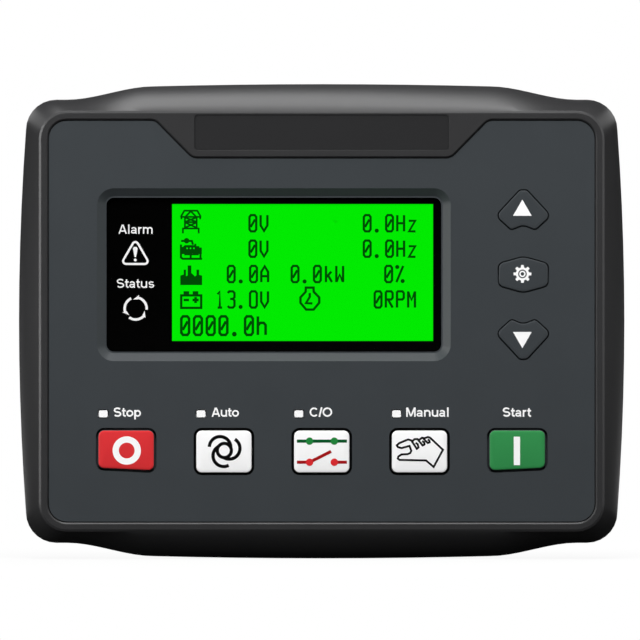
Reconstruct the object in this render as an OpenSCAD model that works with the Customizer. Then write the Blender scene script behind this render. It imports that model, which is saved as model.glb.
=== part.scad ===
// Panel-mounted controller for a generating set: bezel, keypad, display, circuit boards,
// rear housing with pluggable terminals, and the clips that hold it in a switchboard panel.
// X runs to the right, Z up and Y into the switchboard. The origin is the centre of the
// panel cut-out, in the plane where the bezel seats on the panel.

/* [Case] */
// Overall width across the bowed sides
case_w = 209; // [202:1:230]
// Overall height over the top and bottom swells
case_h = 163.7; // [160:0.1:180]
// Depth of the bezel in front of the switchboard panel
bezel_d = 12; // [11:0.5:15]
// Depth of the rear housing behind the switchboard panel
housing_d = 33; // [32:0.5:45]
// Radius of the bezel's outer corners
corner_r = 10.5; // [6:0.5:13]
// How far the sides bow out at mid height
side_bow = 2.4; // [0.5:0.1:4]
// Rise of the top and bottom swells above the corner shoulders
swell_h = 4.6; // [2:0.1:6]
// Extra arch along the crest of a swell
swell_arch = 0.75; // [0:0.05:1.5]
// Half length of a swell's crest
swell_crest = 58; // [45:1:65]
// Half length of a swell with its run-outs
swell_run = 88; // [80:1:90]

/* [Rim and front wall] */
// Width of the sloping border on the left and right
side_slope = 7; // [5:0.1:9]
// Width of the sloping border at the crest of the swells
crest_slope = 9.35; // [8:0.05:12]
// Swelling of the sloping border: 0 is a plain slope
slope_crown = 0.5; // [0:0.1:0.9]
// Width of the small bevel along the edge between slope and rim
rim_bevel = 0.8; // [0.2:0.1:1]
// Width of the flat rim around the front panel
rim_w = 3.1; // [2:0.1:4]
// Width of the small bevel along the rim's inner edge
seat_bevel = 0.5; // [0.2:0.1:0.8]
// Outer corner radius of the rim
rim_r = 9.6; // [6:0.1:10]
// Thickness of the bezel's wall behind the front panel
wall_t = 3; // [2.8:0.1:4]

/* [Name tongue] */
// Half width of the tongue at its root
tongue_root = 57.3; // [50:0.1:64]
// Half width of the tongue at its tip
tongue_tip = 44.5; // [40:0.1:48]
// Length of the tongue below the rim
tongue_len = 13; // [12:0.1:14]
// Fillet radius of the tongue's corners
tongue_r = 4; // [2:0.1:5]
// Width of the bare name inlay
name_w = 87.8; // [70:0.1:88]
// Height of the bare name inlay
name_h = 12.2; // [8:0.1:12.5]
// Distance of the inlay's lower edge from the tongue's tip
name_margin = 2.6; // [2:0.1:4]
// Depth of the inlay's recess
name_recess = 0.7; // [0.5:0.1:1]
// Thickness of the inlay
name_t = 0.4; // [0.2:0.1:0.4]

/* [Front panel] */
// Thickness of the silicone front panel
panel_t = 2.5; // [2:0.1:3.5]
// How far the panel lies below the rim
panel_step = 0.6; // [0.3:0.1:1]
// Gap between the panel and the rim
panel_gap = 0.35; // [0.2:0.05:0.6]
// Corner radius of the panel's seat
panel_r = 6.5; // [3:0.1:7]

/* [Display window] */
// Width of the visible window
window_w = 115.4; // [108:0.1:120]
// Height of the visible window
window_h = 53.1; // [50:0.1:56]
// Window centre to the right of the case centre
window_x = -16.5; // [-20:0.1:-12]
// Window centre above the case centre
window_z = 16.05; // [12:0.05:18]
// Corner radius of the window
window_r = 2.6; // [1:0.1:5]
// Width of the bevel that leads down to the window
bevel_w = 3.25; // [2:0.05:4]
// Width of the flat ledge between bevel and window
ledge_w = 0.5; // [0.2:0.1:0.8]
// Height of the square lip below the bevel
bevel_lip = 0.5; // [0.3:0.1:1]
// Thickness of the acrylic lens
lens_t = 1.8; // [1:0.1:2]
// Thickness of the lens seal
seal_t = 0.2; // [0.1:0.05:0.3]
// Hold of the panel over the lens edge
lens_hold = 2; // [1:0.1:3]

/* [Display] */
// Width of the liquid-crystal picture
picture_w = 90; // [80:0.1:92]
// Height of the liquid-crystal picture
picture_h = 47.2; // [44:0.1:48]
// Picture centre to the right of the window centre
picture_x = 9.9; // [8:0.1:11]
// Picture centre above the window centre
picture_z = 0.75; // [-1:0.05:1]
// Width of the display's metal frame beside the picture
lcd_border = 5; // [4:0.1:6]
// Sheet thickness of the display's metal frame
lcd_sheet = 0.5; // [0.3:0.1:0.8]
// Thickness of the display glass
glass_t = 2; // [1.5:0.1:3]
// Width and height of the light openings behind the two status signs
sign_w = 10; // [8:0.1:11]
// Distance of the signs left of the window centre
sign_x = 47.7; // [45:0.1:49]
// Height of the alarm sign above the window centre
alarm_z = 7.2; // [6:0.1:12]
// Height of the running sign below the window centre
run_z = 11.8; // [8:0.1:14]

/* [Keys] */
// Distance between the mode keys
key_pitch = 33.7; // [30:0.1:35]
// Width of a mode key
key_w = 19.4; // [16:0.1:20]
// Height of a mode key
key_h = 14.8; // [12:0.1:16]
// Height of the mode keys' centre below the case centre
key_z = 44.9; // [44:0.1:47]
// Corner radius of a mode key
key_r = 2.1; // [1:0.1:3]
// Rise of the outer corner of the two end keys
end_rise_outer = 1.65; // [0:0.05:3]
// Rise of the inner corner of the two end keys
end_rise_inner = 0.75; // [0:0.05:2]
// Gap between a mode key and the panel
key_gap = 0.75; // [0.3:0.05:0.8]
// Distance of the arrow and menu keys from the case centre
nav_x = 69.5; // [66:0.1:71]
// Distance between the arrow and menu keys
nav_pitch = 22; // [20:0.1:24]
// Half width of the arrow keys at their corners
nav_half_w = 9.34; // [8:0.02:10]
// Gap between an arrow or menu key and the panel
nav_gap = 0.4; // [0.2:0.05:0.6]
// Height of the mode key faces above the panel
key_proud = 0.5; // [0:0.1:1]
// Radius of the rounded edges of the mode keys
key_edge = 0.6; // [0.3:0.1:1]
// Height of the arrow and menu key faces above the panel
nav_proud = 0.05; // [0:0.05:0.5]
// Radius of the rounded edges of the arrow and menu keys
nav_edge = 0.3; // [0.1:0.05:0.6]
// Travel of every key
key_travel = 1; // [0.5:0.1:1]
// Width of the collar that keeps a key behind the panel
collar_w = 1.5; // [1.2:0.1:1.8]
// Thickness of the collar
collar_t = 1; // [0.6:0.1:1.2]
// Width of a mode lamp
lamp_w = 3; // [2:0.1:4]
// Height of a mode lamp
lamp_h = 2.4; // [1.5:0.1:3]
// Lamp centre to the left of its key's centre
lamp_x = 7.9; // [5:0.1:9]
// Lamp centre above its key's centre
lamp_z = 13; // [13:0.1:15]
// Gap between a lamp and the panel
lamp_gap = 0.35; // [0.1:0.05:0.5]

/* [Boards] */
// Thickness of a circuit board
board_t = 1.6; // [1:0.1:2]
// Width of the keypad board
keypad_w = 176; // [174:1:178]
// Height of the keypad board
keypad_h = 113; // [112:1:114]
// Side of a push-switch body
switch_w = 6; // [5:0.1:7]
// Height of a push-switch body
switch_h = 3.5; // [3:0.1:4]
// Height of a plunger above its switch body
plunger_h = 1.5; // [1.2:0.1:2]
// Plunger diameter
plunger_d = 3.5; // [2:0.1:4]
// Width of the main board
main_w = 168; // [160:1:172]
// Space between the two boards
board_space = 14.8; // [14.6:0.1:16]

/* [Rear housing] */
// Width of the switchboard cut-out
cutout_w = 186; // [184:1:190]
// Height of the switchboard cut-out
cutout_h = 141; // [138:1:143]
// Clearance of the housing in the cut-out on each side
cutout_clear = 1; // [0.5:0.1:1.5]
// Wall thickness of the housing
housing_wall = 2.4; // [2:0.1:3]
// Corner radius of the housing
housing_r = 6; // [4:0.5:8]
// Height of the deep middle block of the housing
block_h = 84; // [80:1:88]
// Depth of the terminal shelves above and below the block
shelf_d = 16.2; // [14:0.1:16.2]
// Rounding of the block's rear edges
block_edge = 2; // [1:0.1:3]
// Width of the sealing gasket
gasket_w = 3; // [2:0.1:3.5]
// Thickness of the gasket when clamped
gasket_t = 2; // [1:0.1:3]
// Land between the cut-out and the gasket
gasket_land = 1; // [0.5:0.1:1.5]

/* [Terminals] */
// Distance between terminal ways
way_pitch = 5.08; // [3.81:0.01:5.08]
// Ways of the upper left plug
ways_top_left = 12; // [4:1:12]
// Ways of the upper right plug
ways_top_right = 10; // [4:1:12]
// Ways of the lower left plug
ways_low_left = 15; // [4:1:15]
// Ways of the lower right plug
ways_low_right = 8; // [4:1:12]
// Gap between the two plugs of a row
plug_gap = 8; // [6:0.5:12]
// Depth of a plug from its screw face to its back
plug_d = 11.6; // [10:0.1:12]
// Length of a plug outside its header
plug_len = 15; // [12:0.1:17]
// Height of a wire entry
wire_h = 3.4; // [2.5:0.1:4]
// Diameter of a terminal screw head
term_screw_d = 3.5; // [2:0.1:3.6]

/* [Fixing clips] */
// Height of the clips above and below the case centre
clip_z = 26; // [20:1:32]
// Width of a clip
clip_w = 12; // [10:0.5:16]
// Thickness of a clip's plate
clip_t = 2.2; // [1.5:0.1:3]
// Diameter of the jack screw
jack_d = 4; // [3:0.5:5]
// Length of the jack screw's shank
jack_len = 21.5; // [18:0.5:24]
// Diameter of the jack screw's head
jack_head_d = 7.2; // [6:0.1:8]
// Diameter of the swivel foot
foot_d = 6.8; // [6:0.1:8]
// Distance of the swivel foot from the panel plane as stored
foot_y = 5.2; // [4.5:0.1:6]

/* [Hidden] */
$fn = 48;
eps = 0.01;
arc_steps = 6;
slope_steps = 6;
slide_clear = 0.1;
seat_clear = 0.15;
drop_clear = 0.4;
slot_clear = 0.2;
// How far a cut reaches past the face that it opens
over = 1;

bezel_col = "#2d2d2e";
panel_col = "#3c4043";
rubber_col = "#1c1c1d";
board_col = "#1f6b3a";
metal_col = "#b9bcc0";
term_col = "#2f8f4a";
white_col = "#f4f5f5";

// Depth planes, from the front to the rear
y_rim = -bezel_d;
y_face = y_rim + panel_step;
y_seat = y_face + panel_t;
y_wall = y_seat + wall_t;
keypad_y = 0;
y_collar = y_seat + slide_clear;
y_switch = keypad_y - switch_h;
y_plunger = y_switch - plunger_h;
y_main = keypad_y + board_t + board_space;
y_main_back = y_main + board_t;
y_lens_back = y_seat + lens_t;
y_lcd = y_wall + seat_clear;
y_ledge = y_seat - bevel_lip;

// Plan sizes
// The housing is as wide as the cut-out lets it be. Where the main board needs more, the housing,
// the cut-out and the bezel grow with it.
main_room = 5.6;
growth = max(0, main_w + 2 * (main_room + housing_wall + cutout_clear) - cutout_w);
opening_w = cutout_w + growth;
housing_w = opening_w - 2 * cutout_clear;
body_w = case_w + growth;
shoulder_h = case_h / 2 - swell_h - swell_arch;
rim_x = body_w / 2 - side_slope;
rim_z = case_h / 2 - crest_slope;
seat_x = rim_x - rim_w;
seat_z = rim_z - rim_w;
housing_h = cutout_h - 2 * cutout_clear;
inner_x = housing_w / 2 - housing_wall;
inner_z = housing_h / 2 - housing_wall;
block_in_z = block_h / 2 - housing_wall;
tongue_z = seat_z - tongue_len;
name_z = tongue_z + name_margin + name_h / 2;
name_r = 1.2;
picture = [window_x + picture_x, window_z + picture_z];
picture_room = 1;
frame_room = 2;
light_r = 1;
lcd_r = 0.6;
lcd_w = picture_w + 2 * lcd_border;
lcd_h = picture_h + 2 * lcd_border;
signs = [[window_x - sign_x, window_z + alarm_z], [window_x - sign_x, window_z - run_z]];
mode_at = [for (i = [-2:2]) [i * key_pitch, -key_z]];
nav_at = [for (i = [1:-1:-1]) [nav_x, window_z + i * nav_pitch]];
key_at = concat(mode_at, nav_at);
lamp_at = [for (i = [0:3]) mode_at[i] + [-lamp_x, lamp_z]];
led_at = concat(lamp_at, signs);
lamp_r = 0.45;
crown_w = 1.2;
crown_share = 0.17;
stem_wall = 0.75;
stem_merge = 0.5;
switch_r = 0.6;

// Arrow and menu keys, measured from the middles of their push switches
arrow_flat = 1.2;
arrow_tip = 7.05;
arrow_side = -1.75;
arrow_foot = [4.15, -6.45];
arrow_notch = -4.8;
arrow_r = [1.3, 4, 1.3, 2, 1.5, 1.5, 2];
menu_inset = 0.9;
menu_half_w = nav_half_w - menu_inset;
menu_side = 3.75;
menu_tip = 6.1;
menu_r = [2, 6, 2, 2, 6, 2];

// Fixing points
corner_boss_d = 10;
corner_screw_d = 3;
corner_head_d = 5.6;
corner_head_h = 2.4;
corner_sink = 1;
corner_grip = 5;
y_corner_head = shelf_d - corner_head_h - corner_sink;
boss_merge = 0.6;
corner_at = [for (sx = [-1, 1], sz = [-1, 1])
    [sx * (inner_x - corner_boss_d / 2 + boss_merge), sz * (inner_z - corner_boss_d / 2 + boss_merge)]];
board_boss_d = 6;
board_screw_d = 2.6;
board_head_d = 4.6;
board_head_h = 1.8;
board_bite = 4;
bit_depth = 0.5;
keypad_side_inset = 3;
keypad_side_z = 14;
keypad_low_drop = 4.7;
keypad_top_gap = 8;
keypad_boss_at = concat(
    [for (sx = [-1, 1]) [sx * (keypad_w / 2 - keypad_side_inset), window_z + keypad_side_z]],
    [for (sx = [-1, 1]) [sx * 1.5 * key_pitch, -key_z - keypad_low_drop]],
    [[0, window_z + lcd_h / 2 + keypad_top_gap]]);
main_side_inset = 6;
main_edge_inset = 16;
main_boss_at = [for (sx = [-1, 1], sz = [-1, 1])
    [sx * (main_w / 2 - main_side_inset), sz * (block_in_z - main_edge_inset)]];

// Parts on the boards: [width, height, depth]
processor_size = [14, 14, 1.6];
processor_at = [24, -8];
link_size = [40, 5, board_space];
link_at = [-20, -18];
relay_size = [19, 10, 11];
relay_pitch = 24;
relay_z = 10;
cap_d = 10;
cap_h = 10.5;
cap_pitch = 15;
cap_at = [-30, -12];
led_size = [3.2, 2.8, 1.9];
chip_r = 0.4;
board_r = 2;

// Housing details: the lip that centres it in the bezel, and the flat field on its back
lip_t = 1.4;
lip_h = 2;
lip_root = 1;
room_r = 1;
edge_share = 0.3;
field_inset = [22, 13];
field_r = 3;
field_sink = 0.5;

// Terminal sizes
nose_len = 9;
header_wall = 1.2;
header_d = 8.6;
header_out = 5;
header_in = 8;
pin_w = 1;
plug_y = y_main_back + header_d / 2;
term_nose_z = block_h / 2 + header_out;
pin_root = 1;
header_clear = 0.3;
entry_wall = 0.75;
entry_w = way_pitch - 2 * entry_wall;
entry_len = 9;
entry_drop = 1;
term_screw_in = 6.6;
term_screw_sink = 1.4;
term_slot = [1.2, 0.6];
term_screw_z = term_nose_z + plug_len - term_screw_in;
y_term_screw = plug_y + plug_d / 2 - term_screw_sink;
terminal_rows = [
    ["top_left", ways_top_left, ways_top_right, -1, 1],
    ["top_right", ways_top_right, ways_top_left, 1, 1],
    ["low_left", ways_low_left, ways_low_right, -1, -1],
    ["low_right", ways_low_right, ways_low_left, 1, -1]];

// Fixing clip sizes
clip_x = housing_w / 2 + slot_clear;
clip_y0 = 8;
clip_y1 = 27;
hook_y = [10.2, 21.2];
hook_t = 2;
hook_lip = 1.8;
hook_inset = 2;
hook_w = clip_w - 2 * hook_inset;
hook_in = 2;
hook_clear = 0.4;
jack_out = 4.6;
jack_x = clip_x + clip_t + jack_out;
jack_wall = 4;
boss_r = 3;
boss_root = 1;
jack_boss = [14, 22];
jack_head_h = 4;
jack_slot = 1.2;
foot_h = 3;
foot_floor = 1.4;
clip_signs = [[-1, 1], [1, 1], [-1, -1], [1, -1]];

// Plane geometry: outlines are lists of [x, z] points, counter-clockwise seen from the front

function unit(v) = v / norm(v);
function left_of(v) = [-v[1], v[0]];

// Number of facets on a rounded corner: small corners need fewer
function steps(r) = max(2, ceil(arc_steps * min(1, r / 2)));

// Points of an outline with corner i rounded to radii[i]
function rounded(pts, radii) = [
    for (i = [0:len(pts) - 1])
        let (
            n = len(pts),
            p = pts[i],
            u = unit(pts[(i + n - 1) % n] - p),
            v = unit(pts[(i + 1) % n] - p),
            half = acos(u * v) / 2,
            centre = p + unit(u + v) * radii[i] / sin(half),
            start = p + u * radii[i] / tan(half) - centre,
            a0 = atan2(start[1], start[0]),
            sweep = sign(u[1] * v[0] - u[0] * v[1]) * (180 - 2 * half))
        for (k = [0:steps(radii[i])])
            let (a = a0 + sweep * k / steps(radii[i]))
            centre + radii[i] * [cos(a), sin(a)]];

// The same outline moved inwards by d, or outwards where d is negative
function inset(pts, d) = [
    for (i = [0:len(pts) - 1])
        let (
            n = len(pts),
            a = left_of(unit(pts[i] - pts[(i + n - 1) % n])),
            b = left_of(unit(pts[(i + 1) % n] - pts[i])))
        pts[i] + d * (a + b) / (1 + a * b)];

function shifted(pts, by) = [for (p = pts) p + by];
function same(n, r) = [for (i = [1:n]) r];

function rect(w, h, r, at = [0, 0]) = shifted(
    rounded([[-w, -h] / 2, [w, -h] / 2, [w, h] / 2, [-w, h] / 2], same(4, r)), at);

// One closed ring of an outline at depth y
function ring(pts, y) = [for (p = pts) [p[0], y, p[1]]];

// Middle of a list of points
function middle(pts) = [for (p = pts) 1] * pts / len(pts);

// A solid through rings of equal length, listed from the front to the rear. Each end is closed by
// a fan around its middle, or around hub, [x, z], where the middle doesn't see the whole ring.
module skin(rings, hub = undef) {
    n = len(rings[0]);
    m = len(rings);
    last = (m - 1) * n;
    hubs = [for (r = [rings[0], rings[m - 1]]) is_undef(hub) ? middle(r) : [hub[0], r[0][1], hub[1]]];
    points = concat([for (r = rings) for (p = r) p], hubs);
    sides = [for (k = [0:m - 2], i = [0:n - 1])
        let (a = k * n + i, b = k * n + (i + 1) % n)
        each [[a, b, b + n], [a, b + n, a + n]]];
    front = [for (i = [0:n - 1]) [(i + 1) % n, i, m * n]];
    rear = [for (i = [0:n - 1]) [last + i, last + (i + 1) % n, m * n + 1]];
    polyhedron(points, concat(front, sides, rear));
}

// A plate of an outline between two depths
module plate(pts, y0, y1) {
    translate([0, y1, 0])
        rotate([90, 0, 0])
            linear_extrude(y1 - y0)
                polygon(pts);
}

// A round bar along Y at [x, z]
module bar(at, d, y0, y1) {
    translate([at[0], y1, at[1]])
        rotate([90, 0, 0])
            cylinder(d = d, h = y1 - y0);
}

module box(x, y, z) {
    translate([x[0], y[0], z[0]])
        cube([x[1] - x[0], y[1] - y[0], z[1] - z[0]]);
}

// Outlines

function smooth(u) = let (t = max(0, min(1, u))) t * t * (3 - 2 * t);
function swell_at(x) = shoulder_h + swell_h * smooth((swell_run - abs(x)) / (swell_run - swell_crest))
    + swell_arch * max(0, 1 - pow(x / swell_crest, 2));

// One quarter of the silhouette and of the rim, with matching points from mid side to mid top:
// close together along the run-out of the swell, wide apart along its crest
side_n = 5;
corner_n = 7;
run_n = 9;
crest_n = 4;
bow_z = shoulder_h - corner_r;
bow_x = body_w / 2 - side_bow;
top_x = concat([bow_x - corner_r],
    [for (k = [0:run_n]) swell_run + (swell_crest - swell_run) * k / run_n],
    [for (k = [1:crest_n]) swell_crest * (1 - k / crest_n)]);
outer_quarter = concat(
    [for (k = [0:side_n - 1]) let (u = k / side_n) [body_w / 2 - side_bow * u * u, bow_z * u]],
    [for (k = [0:corner_n - 1]) let (a = 90 * k / corner_n)
        [bow_x - corner_r * (1 - cos(a)), bow_z + corner_r * sin(a)]],
    [for (x = top_x) [x, swell_at(x)]]);
rim_quarter = concat(
    [for (k = [0:side_n - 1]) [rim_x, (rim_z - rim_r) * k / side_n]],
    [for (k = [0:corner_n - 1]) let (a = 90 * k / corner_n)
        [rim_x - rim_r * (1 - cos(a)), rim_z - rim_r * (1 - sin(a))]],
    [for (x = top_x) [x * (rim_x - rim_r) / top_x[0], rim_z]]);

// All four quarters from one, without repeating the shared points
function four(q) = let (n = len(q)) concat(
    q,
    [for (k = [n - 2:-1:0]) [-q[k][0], q[k][1]]],
    [for (k = [1:n - 1]) [-q[k][0], -q[k][1]]],
    [for (k = [n - 2:-1:1]) [q[k][0], -q[k][1]]]);

silhouette = four(outer_quarter);
rim_line = four(rim_quarter);
flange_edge = 1.5;
bezel_rings = concat(
    [ring(inset(rim_line, rim_bevel), y_rim)],
    [for (k = [0:slope_steps])
        let (t = k / slope_steps, f = t + slope_crown * t * (1 - t))
        ring(rim_line + f * (silhouette - rim_line),
            y_rim + rim_bevel / 2 + t * (bezel_d - rim_bevel / 2 - flange_edge))],
    [ring(silhouette, 0)]);

seat_corners = [[-seat_x, -seat_z], [seat_x, -seat_z], [seat_x, seat_z], [tongue_root, seat_z],
    [tongue_tip, tongue_z], [-tongue_tip, tongue_z], [-tongue_root, seat_z], [-seat_x, seat_z]];
panel_seat = rounded(seat_corners,
    [panel_r, panel_r, panel_r, tongue_r, tongue_r, tongue_r, tongue_r, panel_r]);
panel_edge = inset(panel_seat, panel_gap);
name_edge = rect(name_w, name_h, name_r, [0, name_z]);
window = rect(window_w, window_h, window_r, [window_x, window_z]);
lens_edge = inset(window, -lens_hold);
gasket_in = rect(opening_w + 2 * gasket_land, cutout_h + 2 * gasket_land, housing_r);
housing_edge = rect(housing_w, housing_h, housing_r);
housing_in = inset(housing_edge, housing_wall);

// Mode key i, with the lower edge of the two end keys rising outwards
function mode_key(i) = let (
    outer = abs(i - 2) == 2 ? end_rise_outer : 0,
    inner = abs(i - 2) == 2 ? end_rise_inner : 0,
    rise = i < 2 ? [outer, inner] : [inner, outer])
    shifted(rounded([[-key_w / 2, -key_h / 2 + rise[0]], [key_w / 2, -key_h / 2 + rise[1]],
        [key_w, key_h] / 2, [-key_w, key_h] / 2], same(4, key_r)), mode_at[i]);

// Arrow key pointing up, and the same turned over to point down
arrow_up = rounded([[-arrow_foot[0], arrow_foot[1]], [0, arrow_notch], arrow_foot, [nav_half_w, arrow_side],
    [arrow_flat, arrow_tip], [-arrow_flat, arrow_tip], [-nav_half_w, arrow_side]], arrow_r);
arrow_down = [for (i = [len(arrow_up) - 1:-1:0]) [arrow_up[i][0], -arrow_up[i][1]]];
menu_edge = rounded([[-menu_half_w, -menu_side], [0, -menu_tip], [menu_half_w, -menu_side],
    [menu_half_w, menu_side], [0, menu_tip], [-menu_half_w, menu_side]], menu_r);

nav_keys = [shifted(arrow_up, nav_at[0]), shifted(menu_edge, nav_at[1]), shifted(arrow_down, nav_at[2])];
key_edges = concat([for (i = [0:4]) mode_key(i)], nav_keys);
function gap_of(i) = i < 5 ? key_gap : nav_gap;
function front_of(i) = y_face - (i < 5 ? key_proud : nav_proud);
function round_of(i) = i < 5 ? key_edge : nav_edge;
function lamp_edge(i, grow = 0) = rect(lamp_w + 2 * grow, lamp_h + 2 * grow, lamp_r + grow, lamp_at[i]);

// Front of the case

module front_bezel() color(bezel_col) {
    difference() {
        skin(bezel_rings);
        skin([ring(inset(panel_seat, -2 * seat_bevel), y_rim - seat_bevel),
            ring(panel_seat, y_rim + seat_bevel), ring(panel_seat, y_seat)], [0, -key_z]);
        plate(name_edge, y_rim - over, y_rim + name_recess);
        bezel_cavity();
        lens_pocket();
        for (i = [0:7])
            plate(inset(key_edges[i], -collar_w - drop_clear), y_seat - over, y_wall + over);
        for (i = [0:3]) {
            plate(lamp_edge(i, slide_clear), y_seat - over, y_wall + over);
            plate(lamp_edge(i, collar_w / 2 + slide_clear), y_seat - over, y_collar + collar_t + slide_clear);
        }
        gasket_groove();
    }
}

// The room behind the front wall, around the screw bosses
module bezel_cavity() {
    difference() {
        plate(inset(housing_in, -slide_clear), y_wall, over);
        for (at = corner_at)
            difference() {
                bar(at, corner_boss_d, y_wall - over, 0);
                bar(at, corner_screw_d + 2 * slide_clear, -corner_grip - bit_depth, over);
            }
        for (at = keypad_boss_at)
            difference() {
                bar(at, board_boss_d, y_wall - over, keypad_y);
                bar(at, board_screw_d + slide_clear, keypad_y - board_bite - bit_depth, keypad_y + over);
            }
    }
}

module lens_pocket() {
    plate(inset(lens_edge, -seat_clear), y_seat - over, y_lens_back + seal_t);
    light_holes(y_seat - over, y_wall + over);
}

// Openings for the light of the picture and of the two signs
module light_holes(y0, y1) {
    plate(rect(picture_w + 2 * picture_room, picture_h + 2 * picture_room, light_r, picture), y0, y1);
    for (at = signs)
        plate(rect(sign_w, sign_w, light_r, at), y0, y1);
}

module gasket_groove() {
    difference() {
        plate(inset(gasket_in, -gasket_w), -gasket_t, over);
        plate(gasket_in, -gasket_t - over, 2 * over);
    }
}

module front_panel() color(panel_col) {
    difference() {
        plate(panel_edge, y_face, y_seat);
        skin([ring(inset(window, ledge_w - 2 * bevel_w), 2 * y_face - y_ledge),
            ring(inset(window, -ledge_w), y_ledge), ring(window, y_ledge), ring(window, y_seat + over)]);
        for (i = [0:7])
            plate(inset(key_edges[i], -gap_of(i)), y_face - over, y_seat + over);
        for (i = [0:3])
            plate(lamp_edge(i, lamp_gap), y_face - over, y_seat + over);
    }
}

module name_inlay() color(rubber_col)
    plate(inset(name_edge, slide_clear), y_rim + name_recess - name_t, y_rim + name_recess);

module display_lens() color("#101214")
    plate(lens_edge, y_seat, y_lens_back);

module lens_seal() color(rubber_col)
    difference() {
        plate(lens_edge, y_lens_back, y_lens_back + seal_t);
        light_holes(y_lens_back - over, y_lens_back + over);
    }

// Keys: a rounded cap in front, a collar behind the panel and a stem to the switch

module key(i, c) color(c) {
    edge = key_edges[i];
    grown = inset(edge, -collar_w);
    r = round_of(i);
    cap = [for (k = [0:3]) let (a = 30 * k)
        ring(inset(edge, r * (1 - sin(a))), front_of(i) + r * (1 - cos(a)))];
    skin(concat([ring(inset(edge, crown_w), front_of(i) - crown_share * r)], cap,
        [ring(edge, y_collar), ring(grown, y_collar), ring(grown, y_collar + collar_t)]));
    bar(key_at[i], plunger_d + 2 * stem_wall, y_collar + collar_t - stem_merge, y_plunger);
}

module plunger(i) color(rubber_col)
    bar(key_at[i], plunger_d, y_plunger, y_switch + key_travel);

module switch_bodies() color(rubber_col)
    for (at = key_at)
        difference() {
            plate(rect(switch_w, switch_w, switch_r, at), y_switch, keypad_y);
            bar(at, plunger_d + 2 * slide_clear, y_switch - over, y_switch + 2 * key_travel + slide_clear);
        }

// Light guides of the four mode lamps and the lights behind them

module lamp(i) color(white_col) {
    plate(lamp_edge(i), y_face, keypad_y - led_size[2] - slide_clear);
    plate(lamp_edge(i, collar_w / 2), y_collar, y_collar + collar_t);
}

module indicator_leds() color("#f2efe0")
    for (at = led_at)
        chip(led_size, at, keypad_y - led_size[2]);

// Display module

function lcd_inside(clear) =
    rect(lcd_w - 2 * lcd_sheet - 2 * clear, lcd_h - 2 * lcd_sheet - 2 * clear, lcd_r, picture);

module lcd_frame() color(metal_col)
    difference() {
        plate(rect(lcd_w, lcd_h, lcd_r + lcd_sheet, picture), y_lcd, keypad_y);
        plate(rect(picture_w + 2 * frame_room, picture_h + 2 * frame_room, lcd_r, picture),
            y_lcd - over, keypad_y);
        plate(lcd_inside(0), y_lcd + lcd_sheet, keypad_y + over);
    }

module lcd_glass() color("#3cd23c")
    plate(lcd_inside(slide_clear), y_lcd + lcd_sheet, y_lcd + lcd_sheet + glass_t);

module lcd_backlight() color(white_col)
    plate(lcd_inside(slide_clear), y_lcd + lcd_sheet + glass_t, keypad_y);

// Circuit boards

// A part on a board, [width, height, depth], whose front face is at y
module chip(size, at, y) {
    plate(rect(size[0], size[1], chip_r, at), y, y + size[2]);
}

module keypad_board() color(board_col)
    difference() {
        plate(rect(keypad_w, keypad_h, board_r), keypad_y, keypad_y + board_t);
        for (at = keypad_boss_at)
            bar(at, board_screw_d + drop_clear, keypad_y - over, keypad_y + board_t + over);
    }

// A pan-head screw along Y: its head's seat at y, its shank towards dir
module screw(at, y, dir, d, len, head_d, head_h) {
    slot = [head_d * 2 / 3, head_h, head_d / 6];
    bar(at, d, dir > 0 ? y - eps : y - len, dir > 0 ? y + len : y + eps);
    difference() {
        bar(at, head_d, dir > 0 ? y - head_h : y, dir > 0 ? y : y + head_h);
        for (a = [0, 90])
            translate([at[0], y - dir * head_h, at[1]])
                rotate([0, a, 0])
                    cube(slot, center = true);
    }
}

module keypad_screws() color(metal_col)
    for (at = keypad_boss_at)
        screw(at, keypad_y + board_t, -1, board_screw_d, board_t + board_bite, board_head_d, board_head_h);

module processor() color(rubber_col)
    chip(processor_size, processor_at, keypad_y + board_t);

module board_link() color(rubber_col)
    chip(link_size, link_at, keypad_y + board_t);

module main_board() color(board_col)
    difference() {
        plate(rect(main_w, 2 * (block_in_z - drop_clear), board_r), y_main, y_main_back);
        for (at = main_boss_at)
            bar(at, board_screw_d + drop_clear, y_main - over, y_main_back + over);
    }

module main_screws() color(metal_col)
    for (at = main_boss_at)
        screw(at, y_main, 1, board_screw_d, board_t + board_bite, board_head_d, board_head_h);

module relays() color("#2c56a8")
    for (i = [-2:2])
        chip(relay_size, [i * relay_pitch, relay_z], y_main_back);

module capacitors() color("#23262b")
    for (i = [-1:1])
        bar(cap_at + [i * cap_pitch, 0], cap_d, y_main_back, y_main_back + cap_h);

// Rear housing

module rear_housing() color(bezel_col) {
    block = rect(housing_w, block_h, block_edge + room_r);
    difference() {
        union() {
            plate(housing_edge, 0, shelf_d);
            skin([ring(block, shelf_d - housing_wall), ring(block, housing_d - block_edge),
                ring(inset(block, block_edge * edge_share), housing_d - block_edge * edge_share),
                ring(inset(block, block_edge), housing_d)]);
            difference() {
                plate(housing_in, -lip_h, lip_root);
                plate(inset(housing_in, lip_t), -lip_h - over, lip_root + over);
            }
        }
        difference() {
            housing_room();
            housing_posts();
        }
        post_holes();
        header_windows();
        clip_slots();
        plate(rect(housing_w - 2 * field_inset[0], block_h - 2 * field_inset[1], field_r),
            housing_d - field_sink, housing_d + over);
    }
}

module housing_room() {
    plate(inset(housing_in, lip_t), -lip_h - over, lip_root);
    plate(housing_in, lip_root, shelf_d - housing_wall);
    plate(rect(2 * inner_x, 2 * block_in_z, room_r), lip_root, housing_d - housing_wall);
}

module housing_posts() {
    for (at = corner_at)
        bar(at, corner_boss_d, 0, shelf_d);
    for (at = main_boss_at)
        bar(at, board_boss_d, y_main_back, housing_d);
}

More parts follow.
